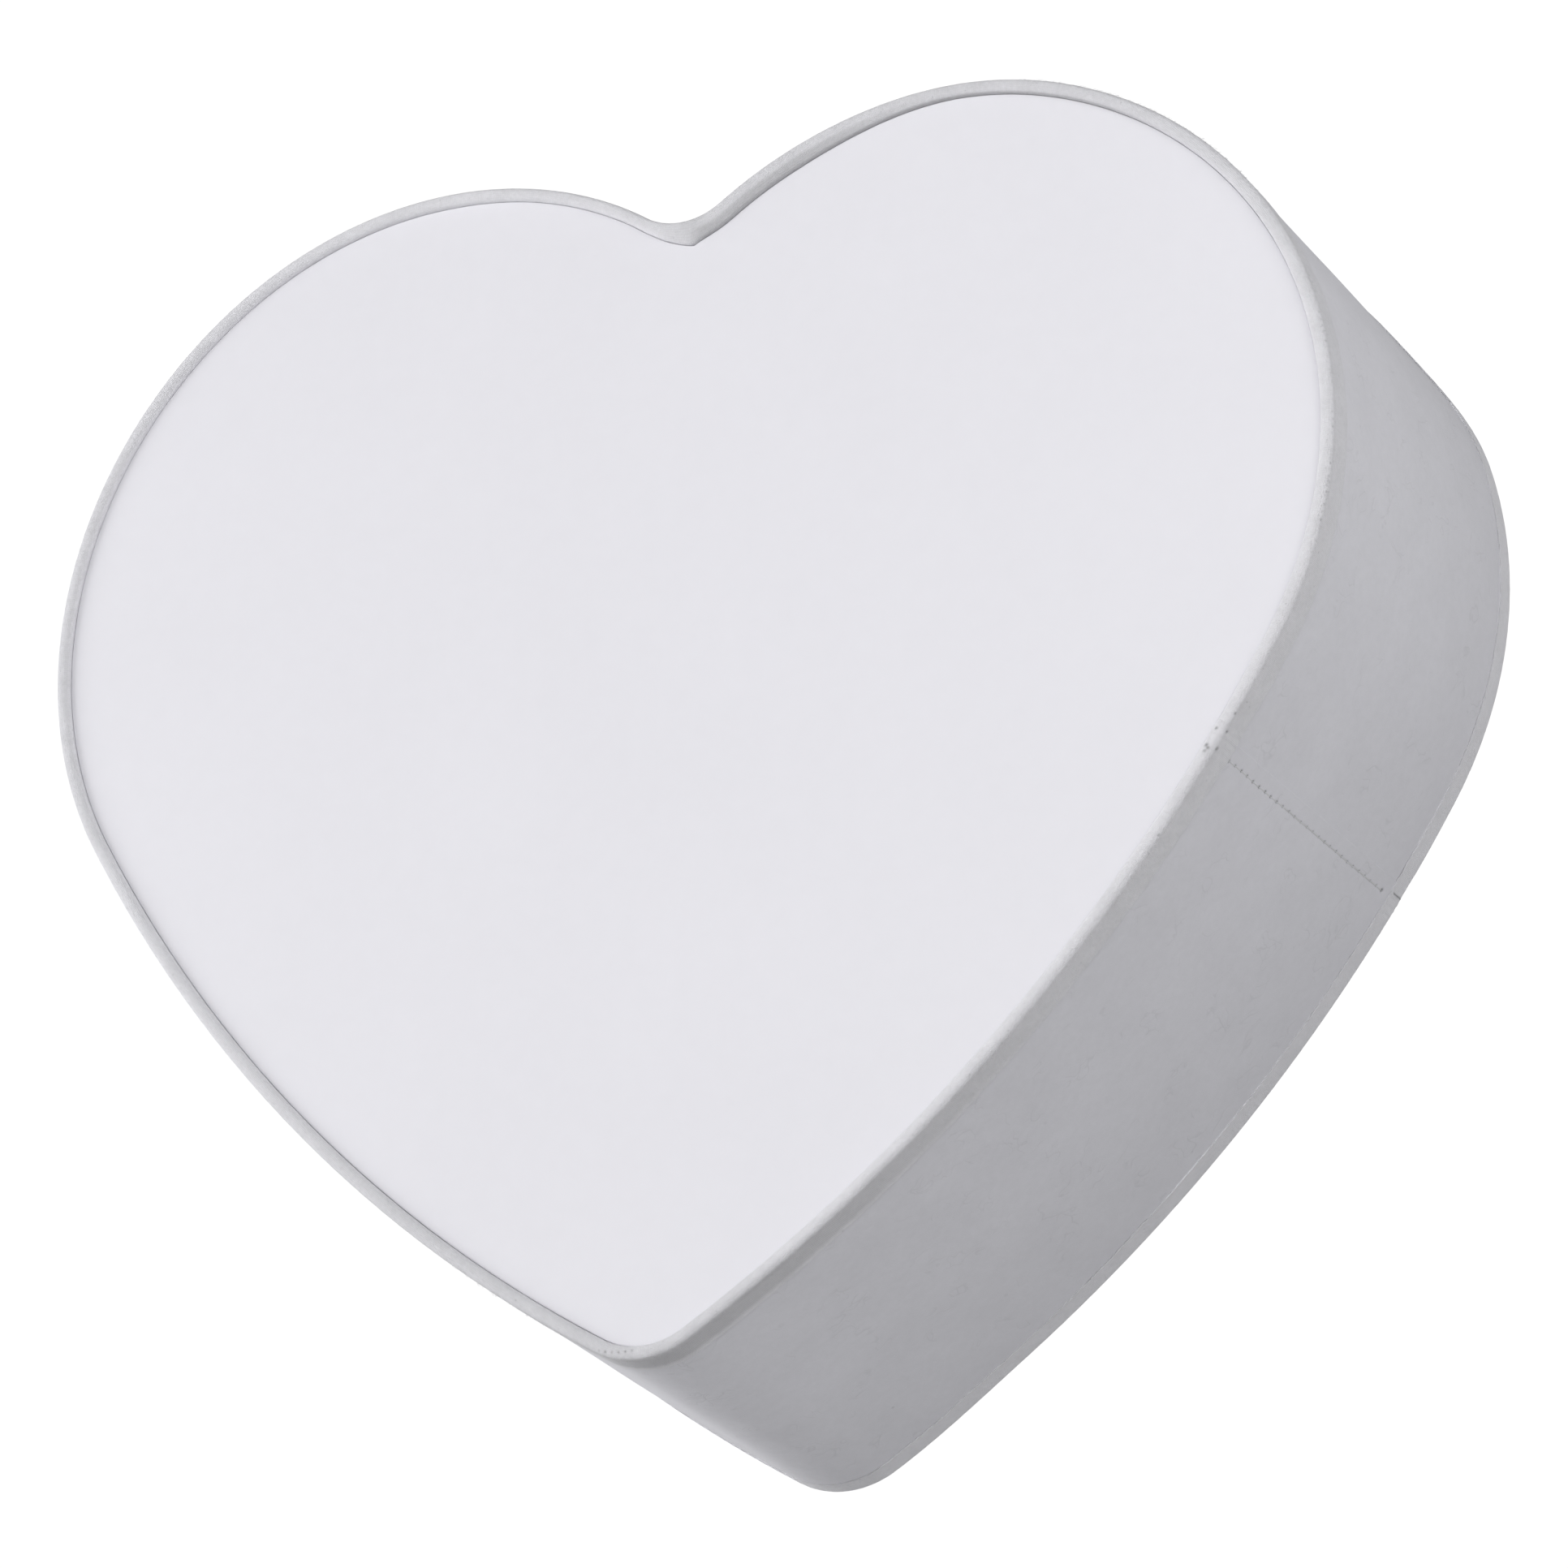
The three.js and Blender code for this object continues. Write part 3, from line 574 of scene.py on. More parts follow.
def wall_fabric():
    """Matt bonded fabric: fine felted fibres, soft patches, a few creases and dimples, which get painted
    shade. Painted shade also makes it a little darker towards the back."""
    m = Shader("shade_fabric_white", (0.814, 0.809, 0.854), 0.95, Sheen_Weight=0.15, Sheen_Roughness=0.5)
    patches = m.noise(22, 3)
    mottle = m.noise(3.2, 3, 0.6)
    grain = m.noise(0.42, 2, 0.7)
    fibres_a = m.noise(1, 4, 0.65, m.cloth((2.2, 0.45, 1), 0.5))
    fibres_b = m.noise(1, 4, 0.65, m.cloth((0.5, 2.4, 1), -0.4))
    dimple = m.math("MULTIPLY", m.spots(55.0, 0.045), m.spread(m.noise(14, 0), 0.56, 0.6))
    wander = m.node("TexNoise", {"Vector": m.place(), "Scale": 60.0}).outputs["Color"]
    warped = m.node(
        "VectorMath", {0: m.place(), 1: wander, 2: (0.02, 0.02, 0.02)}, operation="MULTIPLY_ADD")
    crease = m.spots(26.0, 0.03, "DISTANCE_TO_EDGE", warped.outputs[0])
    crease = m.math("MULTIPLY", crease, m.spread(m.noise(12, 1), 0.53, 0.62))
    across = m.node("SeparateXYZ", {"Vector": m.place()}).outputs["Y"]
    m.tint(
        m.swing(patches, 0.98, 1.014),
        m.swing(mottle, 0.981, 1.016),
        m.spread(grain, 0.25, 0.75, 0.975, 1.02),
        # painted shade in the dimples and along the creases
        m.fade(dimple, 0.8),
        m.fade(crease, 0.93),
        # painted shade in the needle holes and along the seam
        m.fade(m.painted("recess_shade"), 0.12),
        # painted shade: the wall is darker towards its back edge
        m.spread(across, -0.09, -0.012, 1.0, 0.925))
    m.bump(patches, 0.5)
    m.bump(m.math("MAXIMUM", fibres_a, fibres_b), 0.06)
    m.bump(grain, 0.035)
    m.bump(m.math("SUBTRACT", 1.0, dimple), 0.2)
    m.bump(m.math("SUBTRACT", 1.0, crease), 0.06)
    m.rough(m.swing(mottle, 0.88, 1.0))
    return m.material


def tape_fabric():
    """Brushed cotton tape: a plain weave under a short nap, with lint and small specks."""
    m = Shader("trim_tape_cotton", (0.876, 0.87, 0.906), 0.92, Sheen_Weight=0.3, Sheen_Roughness=0.45)
    pitch = 0.55
    weave = m.node("SeparateXYZ", {"Vector": m.cloth((math.pi / (pitch * MM),) * 3)})
    warp = m.math("ABSOLUTE", m.math("SINE", weave.outputs["X"]))
    weft = m.math("ABSOLUTE", m.math("SINE", weave.outputs["Y"]))
    threads = m.math("MULTIPLY", warp, weft)
    nap = m.noise(0.5, 3, 0.7)
    tufts = m.noise(1.4, 3, 0.65)
    speck = m.spots(420.0, 0.2)
    dark = m.math("MULTIPLY", speck, m.spread(m.noise(2.6, 0), 0.62, 0.66))
    light = m.math("MULTIPLY", speck, m.spread(m.noise(2.2, 0), 0.38, 0.34))
    m.tint(
        m.swing(m.noise(9, 2), 0.965, 1.02),
        m.swing(tufts, 0.95, 1.035),
        m.spread(threads, 0.0, 1.0, 0.93, 1.02),
        m.fade(dark, 0.72),
        m.fade(light, 1.12),
        # painted shade in the needle dots and in the groove at the diffuser
        m.fade(m.painted("recess_shade"), 0.2),
        # painted shade on the tape's leg and roll
        m.fade(m.painted("painted_shade"), 0.75))
    m.bump(tufts, 0.22)
    m.bump(nap, 0.14)
    m.bump(threads, 0.09)
    m.rough(m.swing(nap, 0.86, 1.0))
    return m.material


def thread_cotton():
    m = Shader("thread_cotton", (0.79, 0.79, 0.8), 0.8, Sheen_Weight=0.3)
    twist = m.noise(0.25, 2, 0.6, m.place((1, 2.4, 1)))
    m.tint(m.swing(twist, 0.86, 1.06))
    m.bump(twist, 0.06)
    return m.material


def opal_sheet():
    """Frosted opal acrylic: almost even, with a fine matt grain and a trace of unevenness."""
    m = Shader("opal_acrylic_matt", (0.885, 0.877, 0.922), 0.5, Specular_IOR_Level=0.35)
    fine = m.noise(7, 3)
    m.tint(m.swing(m.noise(70, 2), 0.994, 1.006), m.swing(fine, 0.996, 1.004))
    m.bump(m.noise(0.35, 2, 0.7), 0.008)
    m.rough(m.swing(fine, 0.46, 0.56))
    return m.material


def opal_glass():
    m = Shader("bulb_glass_opal", (0.9, 0.9, 0.89), 0.16, Coat_Weight=0.4, Coat_Roughness=0.05)
    haze = m.noise(9, 2)
    m.tint(m.swing(haze, 0.985, 1.01))
    m.rough(m.swing(haze, 0.12, 0.22))
    return m.material


def white_enamel():
    """Powder-coated sheet steel: orange peel and a few rub marks."""
    m = Shader("powder_coat_white", (0.84, 0.84, 0.83), 0.38, Coat_Weight=0.1)
    wear = m.noise(24, 4, 0.6)
    m.tint(m.swing(wear, 0.97, 1.01))
    m.bump(m.noise(1.1, 2), 0.03)
    m.rough(m.swing(wear, 0.3, 0.45))
    return m.material


def coated_wire():
    m = Shader("wire_coating_white", (0.85, 0.85, 0.84), 0.33, Coat_Weight=0.2)
    run = m.noise(3.5, 3)
    m.tint(m.swing(run, 0.96, 1.01))
    m.bump(run, 0.05)
    m.rough(m.swing(run, 0.26, 0.42))
    return m.material


def metal(name, color, roughness, grain, scratch):
    """Sheet or turned metal with a fine drawn grain, clouding and scratches."""
    m = Shader(name, color, roughness, Metallic=1.0)
    cloud = m.noise(grain * 12, 3, 0.6)
    lines = m.noise(grain, 3, 0.7, m.place((1, 0.12, 1)))
    rubs = m.noise(grain * 4, 4, 0.7, m.place((0.3, 1, 1)))
    m.tint(m.swing(cloud, 0.86, 1.05), m.spread(rubs, 0.35, 0.6, 1 - scratch, 1.0))
    m.bump(lines, 0.01)
    m.rough(m.swing(cloud, roughness * 0.8, roughness * 1.3))
    return m.material


def zinc_plate():
    """Galvanised sheet: a faint spangle with each grain at its own brightness."""
    m = Shader("zinc_plated_steel", (0.62, 0.63, 0.65), 0.38, Metallic=1.0)
    spangle = m.node("TexVoronoi", {"Vector": m.place(), "Scale": 700.0}, feature="F1")
    cell = m.node("SeparateColor", {"Color": spangle.outputs["Color"]}).outputs["Red"]
    stain = m.noise(12, 4, 0.6)
    m.tint(m.spread(cell, 0.0, 1.0, 0.94, 1.03), m.swing(stain, 0.92, 1.03))
    m.rough(m.math("ADD", m.spread(cell, 0.0, 1.0, 0.32, 0.4), m.spread(stain, 0.4, 0.7, 0.0, 0.06)))
    m.bump(m.noise(0.5, 2), 0.012)
    return m.material


def plastic(name, color, roughness, grain=0.8, depth=0.015):
    m = Shader(name, color, roughness, Coat_Weight=0.05)
    dust = m.noise(6, 4, 0.65)
    m.tint(m.swing(dust, 0.94, 1.03))
    m.bump(m.noise(grain, 2, 0.6), depth)
    m.rough(m.swing(dust, roughness * 0.85, min(1.0, roughness * 1.2)))
    return m.material


def porcelain():
    m = Shader("porcelain_glazed", (0.86, 0.85, 0.81), 0.14, Coat_Weight=0.5, Coat_Roughness=0.04)
    glaze = m.noise(5, 2)
    speck = m.math("MULTIPLY", m.spots(330.0, 0.06), m.spread(m.noise(4, 0), 0.55, 0.6))
    m.tint(m.swing(glaze, 0.98, 1.01), m.fade(speck, 0.6))
    m.bump(glaze, 0.06)
    return m.material


# The material of each slot in the record
MATERIALS = {
    "shade_fabric": wall_fabric(),
    "trim_tape": tape_fabric(),
    "sewing_thread": thread_cotton(),
    "opal_diffuser": opal_sheet(),
    "opal_glass": opal_glass(),
    "white_enamel": white_enamel(),
    "coated_wire": coated_wire(),
    "zinc_steel": zinc_plate(),
    "nickel_plate": metal("nickel_plate", (0.72, 0.7, 0.66), 0.2, 0.5, 0.08),
    "spring_steel": metal("spring_steel", (0.5, 0.51, 0.53), 0.3, 0.4, 0.12),
    "brass": metal("brass_plain", (0.73, 0.54, 0.25), 0.28, 0.5, 0.15),
    "cap_aluminium": metal("cap_aluminium", (0.74, 0.75, 0.76), 0.27, 0.4, 0.1),
    "terminal_plastic": plastic("terminal_polyamide", (0.8, 0.79, 0.74), 0.42),
    "earth_sheath": plastic("earth_sheath_green", (0.3, 0.5, 0.08), 0.45, 0.5),
    "lead_sheath": plastic("lead_sheath_white", (0.8, 0.8, 0.79), 0.42, 0.6),
    "grommet_rubber": plastic("grommet_rubber", (0.035, 0.035, 0.038), 0.62, 0.5, 0.03),
    "porcelain": porcelain(),
}


# ---------------- shade: the fabric wall

WALL_OUTER = 0.45
WALL_INNER = 1.5
WALL_FRONT_Y = FRONT_Y + 2.2
WALL_BACK_Y = BACK_Y - 2.2
WAVE_HEIGHT = 0.16
LAP_STEP = 0.3
LAP_EDGE = 5.8  # from the stitching to the lap's free edge
LAP_FADE = 34  # from the stitching to where the lap no longer shows
SEAM_GROOVE = 0.06
PIT_DEPTH = 0.42
PIT_RADIUS = 0.5
STITCH_COUNT = 26
TIGHT_STITCHES = 9  # from the front: there the holes are larger and no painted shadow line runs along the seam


def stitch_holes():
    """Places (length past the seam line, y) and strengths of the needle holes."""
    draw = np.random.RandomState(3)
    count = STITCH_COUNT + 1
    y = np.linspace(SEAM_LOW.y + 0.3, SEAM_HIGH.y - 0.3, count)
    y[1:-1] += draw.uniform(-0.25, 0.25, count - 2)
    side = draw.uniform(-0.15, 0.15, count)
    strength = np.where(np.arange(count) < TIGHT_STITCHES, 1.0, 0.82)
    strength = strength * draw.uniform(0.85, 1.1, count)
    strength[-1] = 1.5
    return side, y, strength


HOLE_SIDE, HOLE_Y, HOLE_STRENGTH = stitch_holes()
STRAY_HOLES = [(-25.6, -117.0, 0.3), (14.0, -131.0, 0.22), (-8.0, -60.0, 0.2)]


def cloth_place(along, across):
    """Places on the flat cloth in metres, for the weave."""
    along, across = np.broadcast_arrays(along, across)
    return np.column_stack([along, across, np.zeros(len(across))]) * MM


def wall_ripple(s, y):
    """The slight waves of the laminated wall, inwards."""
    return WAVE_HEIGHT * ripple(s, y, [(95, 70), (140, 110), (61, 48)], 11)


def wall_relief(s, y):
    """How far the wall's outer face lies inside its true place, and how much painted shade its needle
    holes get. The seam is tight at the front, and further back a thin line of painted shadow runs along
    it."""
    from_seam = s - SEAM_S
    under_lap = smooth_step(from_seam, -LAP_FADE, -LAP_EDGE) * (from_seam < -LAP_EDGE + 0.001)
    relief = LAP_STEP * under_lap + SEAM_GROOVE * bell(from_seam, 0.9) + wall_ripple(s, y)
    seam_line_share = smooth_step(y, HOLE_Y[TIGHT_STITCHES - 1], HOLE_Y[TIGHT_STITCHES + 1])
    # painted shadow line along the seam further back
    recess_shade = 0.3 * seam_line_share * (y < SEAM_HIGH.y) * bell(from_seam, 0.3)
    for side, hole_y, strength in [*zip(HOLE_SIDE, HOLE_Y, HOLE_STRENGTH), *STRAY_HOLES]:
        near = bell(np.hypot(from_seam - side, y - hole_y), PIT_RADIUS * math.sqrt(strength))
        # painted shade in each needle hole
        recess_shade = np.maximum(recess_shade, near * min(1.0, strength))
        relief = relief + PIT_DEPTH * strength * near
    return relief, np.clip(recess_shade, 0, 1)


def wall_rows(fine):
    """The y places of the points down the wall's outer face."""
    if not fine:
        return np.linspace(WALL_FRONT_Y, WALL_BACK_Y, 42)
    around = np.array([0.08, 0.22, 0.4, 0.7, 1.2])
    rows = (HOLE_Y[:, None] + np.concatenate([-around, around])).ravel()
    between = (HOLE_Y[1:] + HOLE_Y[:-1]) / 2
    front = np.linspace(WALL_FRONT_Y, HOLE_Y[0] - 2.0, 8)
    back = np.linspace(HOLE_Y[-1] + 2.0, WALL_BACK_Y, 6)
    return np.sort(np.concatenate([rows, between, front, back]))


def wall_columns():
    """Lengths of the wall's columns, from the lap's free edge right round to it again, and
    which of them need fine rows."""
    edge = SEAM_S - LAP_EDGE
    lap = edge + np.array([0.0, 0.12, 0.4, 1.2, 2.6, 4.2])
    seam = SEAM_S + np.array([-1.2, -0.8, -0.5, -0.3, -0.15, 0, 0.15, 0.3, 0.5, 0.8, 1.2, 2.2, 4.0])
    end = edge + OUTLINE_LENGTH - np.array([12.0, 6.0, 2.5, 1.0, 0.3, 0.04])
    steps = np.sort(np.mod(outline_steps(2.0, 5.0) - edge, OUTLINE_LENGTH) + edge)
    clear = (steps > SEAM_S + 6) & (steps < edge + OUTLINE_LENGTH - 14)
    columns = np.concatenate([lap, seam, steps[clear], end])
    return columns, (columns > edge + 4.1) & (columns < SEAM_S + 3)


def zip_rings(a, shares_a, b, shares_b):
    """Triangles between two closed rings of vertex numbers that may differ in count."""
    faces = []
    i = j = 0
    while i < len(a) or j < len(b):
        next_a = shares_a[i + 1] if i + 1 < len(a) else 1.0
        next_b = shares_b[j + 1] if j + 1 < len(b) else 1.0
        here_a, here_b = a[i % len(a)], b[j % len(b)]
        if j >= len(b) or (i < len(a) and next_a <= next_b):
            faces.append((here_a, a[(i + 1) % len(a)], here_b))
            i += 1
        else:
            faces.append((here_a, b[(j + 1) % len(b)], here_b))
            j += 1
    return faces


def build_wall():
    """The laminated band, in columns that are finer at the needle holes and lap at the seam."""
    depth = WALL_BACK_Y - WALL_FRONT_Y
    inner_y = np.linspace(WALL_BACK_Y, WALL_FRONT_Y, 28)
    side_share = 0.45  # of the way round a column's section that one side takes
    points, cloth, pits, rings = [], [], [], []
    start = 0
    for s, fine in zip(*wall_columns()):
        outer_y = wall_rows(fine)
        near_seam = nearer(s, SEAM_S)
        relief, recess_shade = wall_relief(near_seam, outer_y)
        points.append(on_outline(s, WALL_OUTER + relief, outer_y))
        points.append(on_outline(s, WALL_INNER + wall_ripple(near_seam, inner_y), inner_y))
        y = np.concatenate([outer_y, inner_y])
        cloth.append(cloth_place(s, y))
        pits.append(np.concatenate([recess_shade, np.zeros(len(inner_y))]))
        outer_share = (outer_y - WALL_FRONT_Y) / depth * side_share
        inner_share = 0.5 + (WALL_BACK_Y - inner_y) / depth * side_share
        rings.append((range(start, start + len(y)), np.concatenate([outer_share, inner_share])))
        start += len(y)
    faces = []
    for (a, shares_a), (b, shares_b) in zip(rings, rings[1:] + rings[:1]):
        count = len(a)
        if count == len(b):
            faces.extend((a[i], a[(i + 1) % count], b[(i + 1) % count], b[i]) for i in range(count))
        else:
            faces.extend(zip_rings(a, shares_a, b, shares_b))
    wall = add_piece(
        "wall_fabric", (np.concatenate(points), faces), "shade_fabric", node="shade_wall", crease=50,
        attributes={"cloth": np.concatenate(cloth), "recess_shade": np.concatenate(pits)})


# ---------------- shade: the trim tapes

TAPE_SHEET = 0.4
TAPE_OUTER = 0.04
TAPE_FACE = 5.15
CROWN_INSET = 2.2  # of the tape's foremost line
CROWN_HEIGHT = 2.3
INNER_LEG = 5.0
FOLD_S = 3.0  # the sharp fold at the cleft lies just past it
FINE_TAPE_SPANS = [(303, 384), (SEAM_S - 16, SEAM_S + 8), (SEAM_S + 31, SEAM_S + 37), (728, 800)]
# (length from the cleft, painted shade) along the roll, from the tip up the left arm and down the right
ROLL_PAINTED_SHADE = [
    (-750, 0.5), (-650, 0.5), (-540, 0.2), (-10, 0.12),
    (5, 0.45), (120, 0.45), (200, 0.4), (290, 0.2), (450, 0.06), (660, 0.06), (740, 0.45),
]


def tape_section(turn):
    """(inset, depth behind the face) points of the tape's closed section, outer side first,
    and how many of them are on that side; turn is the depth of its leg on the wall."""
    squareness = 0.86

    def side(offset, steps):
        leg = [(TAPE_OUTER + offset, d) for d in np.linspace(turn, CROWN_HEIGHT + 1.0, 10)]
        over = []
        for t in np.radians(np.linspace(180, 360, steps + 1)):
            c, s = math.cos(t), math.sin(t)
            half = (CROWN_INSET if c < 0 else TAPE_FACE - CROWN_INSET) - TAPE_OUTER - offset
            over.append((
                CROWN_INSET + half * math.copysign(abs(c) ** squareness, c),
                CROWN_HEIGHT - (CROWN_HEIGHT - offset) * abs(s) ** squareness,
            ))
        inner_inset = TAPE_FACE - TAPE_OUTER - offset
        return leg + over + [(inner_inset, d) for d in np.linspace(CROWN_HEIGHT + 0.9, INNER_LEG, 3)]

    outer = side(0.0, 22)
    return np.array(outer + side(TAPE_SHEET, 12)[::-1]), len(outer)


def inner_reach(lengths):
    """How much further in than an even offset the tape's inner edge reaches round the cleft:
    it folds to a point there, is tight on the left arm and is a loose roll on the right."""
    x = wrapped(np.asarray(lengths, float) - FOLD_S)
    left = 5.0 * np.clip(1 + x / 16, 0, 1) ** 1.6
    left = left - 0.45 * plateau(-x, 8, 26, 60, 110)
    right = 3.0 * (1 - smooth_step(x, 40, 115)) + 2.0 * np.exp(-np.maximum(x, 0) / 3)
    return np.where(x < 0, left, right)


def tape_lengths(join):
    """Lengths of the tape's rings, from its join right round to it again."""
    coarse = outline_steps(1.2, 2.6)
    fine = [np.arange(low, high, 0.45) for low, high in FINE_TAPE_SPANS]
    for low, high in FINE_TAPE_SPANS:
        coarse = coarse[(coarse < low - 0.4) | (coarse > high + 0.1)]
    steps = np.sort(np.mod(np.concatenate([coarse, *fine]) - join, OUTLINE_LENGTH) + join)
    lap = join + np.array([0.0, 0.1, 0.3, 0.7])
    end = join + OUTLINE_LENGTH - np.array([0.7, 0.3, 0.05])
    inside = (steps > join + 0.9) & (steps < join + OUTLINE_LENGTH - 0.9)
    return np.concatenate([lap, steps[inside], end])


def tape_painted_shade(s, inset, depth, turn):
    """Painted shade: the leg on the wall is darker towards the tip, but not along its free edge. The roll
    gets most painted shade in the fold at the cleft, on its right arm, over the right lobe and round the
    tip."""
    s = np.mod(s, OUTLINE_LENGTH)
    past_tip = 0.5 * smooth_step(s, 750, 768) + 0.5 * smooth_step(s, 900, 1000)
    along = np.clip((s - 560) / 175, 0, 1) * (1 - past_tip)
    leg = along * plateau(depth, 0.6, 1.6, turn - 3.5, turn - 0.8)
    lobe_leg = 0.55 * plateau(s, 40, 90, 190, 230) * smooth_step(depth, 0.3, 1.3)
    from_fold = wrapped(s - 2)
    roll = np.interp(from_fold, *zip(*ROLL_PAINTED_SHADE)) + 0.35 * bell(from_fold, 6)
    return np.where(inset < 1.5, np.maximum(leg, lobe_leg), 0.0) + roll * (depth < 2.6)


def tape_groove(s, inset, depth):
    """Painted shade on the roll's inner side where it meets the diffuser, from the cleft to the right."""
    loose = np.clip(inner_reach(s) / 3, 0, 1)
    low = smooth_step(depth, 0.45, 1.5) * (inset > CROWN_INSET)
    groove_shade = np.maximum(0.42 * low, 0.27 * loose * smooth_step(inset, 3.1, 3.9))
    return plateau(np.mod(s, OUTLINE_LENGTH), 1, 8, 170, 215) * groove_shade


def tape_pits(points, marks):
    """How much painted shade each point gets: marks are (place, radius, strength) of needle dots and loose
    ends.
    """
    pits = np.zeros(len(points))
    for place, radius, strength in marks:
        pits = np.maximum(pits, strength * bell(np.linalg.norm(points - place, axis=1), radius))
    return pits


def build_tape(name, node, face_y, towards, turn, join, marks, seed):
    """A cotton tape folded round a ring wire, glued down on the wall with its ends lapped.
    Towards is -1 at the front and 1 at the back; only the front one gets painted shade on its leg, roll
    and groove."""
    section, outer_count = tape_section(turn)
    across = np.concatenate([[0], np.cumsum(np.linalg.norm(np.diff(section, axis=0), axis=1))])
    inset, depth = section.T
    on_leg = inset < 1.5
    leg_share = np.clip((depth - CROWN_HEIGHT) / (turn - CROWN_HEIGHT), 0, 1) * on_leg
    front = np.clip(1 - depth / CROWN_HEIGHT, 0, 1)
    outward = np.where(np.arange(len(section)) < outer_count, 1.0, 0.0)
    to_inner_edge = np.clip(inset / TAPE_FACE, 0, 1) ** 2
    inwards = np.where(inset < CROWN_INSET, 1, -1) * (1 - front)
    ridge = outward * 0.1 * bell(depth - turn + 0.5, 0.5) * on_leg
    rings, cloth, painted_shade, groove = [], [], [], []
    for s in tape_lengths(join):
        here = nearer(s, join)
        edge = 0.35 * ripple(here, 0.0, [(23, 400), (37, 400), (11, 400), (5.3, 400)], seed)
        pucker = ripple(here, across, [(4.1, 9), (6.7, 14), (9.5, 30)], seed + 1)
        dip = 0.28 * smooth_step(here, join - 16, join) * (here < join)
        crumple = bell(here - join - 4, 5.5) * ripple(here, across, [(2.4, 5), (3.6, 7)], seed + 2)
        offset = outward * (dip - 0.05 * pucker - 0.16 * crumple * (inset < 4))
        new_inset = np.maximum(inset + inwards * (offset - ridge), 0.0) + inner_reach(s) * to_inner_edge
        new_depth = np.maximum(depth + leg_share * edge + front * (offset + 0.05), 0.0)
        rings.append(on_outline(s, new_inset, face_y - towards * new_depth))
        cloth.append(cloth_place(s, across))
        painted_shade.append(tape_painted_shade(s, inset, depth, turn) * (towards < 0))
        groove.append(tape_groove(s, inset, depth) * (towards < 0))
    points, faces = loft(rings, closed=True)
    tape = add_piece(name, (points, faces), "trim_tape", node=node, crease=60, attributes={
        "cloth": np.concatenate(cloth),
        "recess_shade": np.maximum(tape_pits(points, marks), np.concatenate(groove)),
        "painted_shade": np.concatenate(painted_shade)})


def tape_mark(s, inset, y, radius, strength):
    """One mark for tape_pits."""
    return on_outline(s, inset, y)[0], radius, strength


def front_tape_marks():
    """Painted shade of needle dots beside the tape's join and along the tip, on its face and on its leg.
    """
    # (length past the seam, inset or depth, radius, strength)
    face = [(-6.2, 3.1, 0.5, 0.9), (0.3, 2.9, 0.7, 0.8), (0.9, 1.9, 0.6, 0.85), (2.3, 2.4, 0.6, 0.6)]
    leg = [(-6.9, 2.2, 0.5, 0.85), (-13.5, 1.3, 0.5, 0.95), (34.0, 0.8, 0.5, 0.95), (-0.4, 2.2, 0.7, 0.8)]
    draw = np.random.RandomState(17)
    for low, high, count in ((305, 316, 5), (343, 351, 4), (358, 372, 8), (374, 382, 4)):
        for s in np.linspace(low, high, count) + draw.uniform(-0.6, 0.6, count):
            leg.append((s - SEAM_S, draw.uniform(0.5, 1.1), 0.4, draw.uniform(0.5, 0.9)))
    face_y = FRONT_Y + 0.1
    marks = [tape_mark(SEAM_S + past, inset, face_y, *dot) for past, inset, *dot in face]
    marks += [tape_mark(SEAM_S + past, TAPE_OUTER, FRONT_Y + depth, *dot) for past, depth, *dot in leg]
    for k in range(7):
        marks.append(tape_mark(768.5 - 2.7 * k, 0.5 + 0.45 * k, face_y, 0.42, 0.4 + 0.15 * (k % 3)))
    return marks


def back_tape_marks():
    """A painted shadow line at the gap between the back tape's ends, and painted shade in a few dots on
    it.
    """
    gap_shadow = [(-2.0, depth, 0.33, 1.0) for depth in np.arange(1.0, 7.6, 0.3)]
    dots = [(past, depth, 0.5, 0.4) for past, depth in ((-31.0, 5.5), (12.0, 3.0), (25.5, 6.0))]
    return [tape_mark(SEAM_S + past, TAPE_OUTER, BACK_Y - depth, *dot) for past, depth, *dot in gap_shadow + dots]


def build_ring_wire(node, face_y, towards):
    """A coated wire bent to the heart, with its ends butt-welded."""
    radius, centre_inset, centre_depth, sides = 1.4, 3.2, 2.3, 14
    weld_s, weld_swell = 900.0, 0.12
    centre_y = face_y - towards * centre_depth
    turns = full_turn(sides)
    rings = []
    for s in np.sort(np.concatenate([outline_steps(1.5, 4.0), weld_s + np.arange(-2, 2.1, 0.7)])):
        swollen = radius + weld_swell * bell(s - weld_s, 1.0)
        inset = centre_inset + swollen * np.cos(turns)
        rings.append(on_outline(s, inset, centre_y + swollen * np.sin(turns)))
    stand_in(node, "bent", loft(rings, closed=True), "coated_wire", "shade")


# ---------------- shade: diffuser and seam

def build_diffuser():
    """A flat opal sheet with a small polished bevel round both edges."""
    depth, thickness, edge_gap, bevel = 2.35, 3.0, 0.08, 0.35
    front_y = FRONT_Y + depth
    back_y = front_y + thickness
    lengths = outline_steps(0.8, 3.0)
    edge = TAPE_FACE + edge_gap + inner_reach(lengths)
    rows = [
        (1.4 * bevel, front_y), (bevel, front_y), (0.3 * bevel, front_y + 0.3 * bevel),
        (0, front_y + bevel), (0, back_y - bevel), (bevel, back_y),
    ]
    skin = loft([on_outline(lengths, edge + inset, y) for inset, y in rows])
    add_piece("diffuser_sheet", skin, "opal_diffuser", node="diffuser_panel", crease=30)


def build_stitches(name, node, inset, lift, strength):
    """One thread that shows between the needle holes and dives into each of them."""
    radius, dive_length, count = 0.15 * strength, 1 / 7, 11
    parts = []
    share = np.linspace(0, 1, count)
    dive = 1 - np.minimum(1, np.minimum(share, 1 - share) / dive_length)
    for k in range(STITCH_COUNT):
        y = np.linspace(HOLE_Y[k], HOLE_Y[k + 1], count)
        s = SEAM_S + np.linspace(HOLE_SIDE[k], HOLE_SIDE[k + 1], count)
        path = on_outline(s, inset + wall_ripple(s, y) + lift * dive, y)
        parts.append(tube(path, radius, 8))
    add_piece(name, joined(parts), "sewing_thread", node=node)


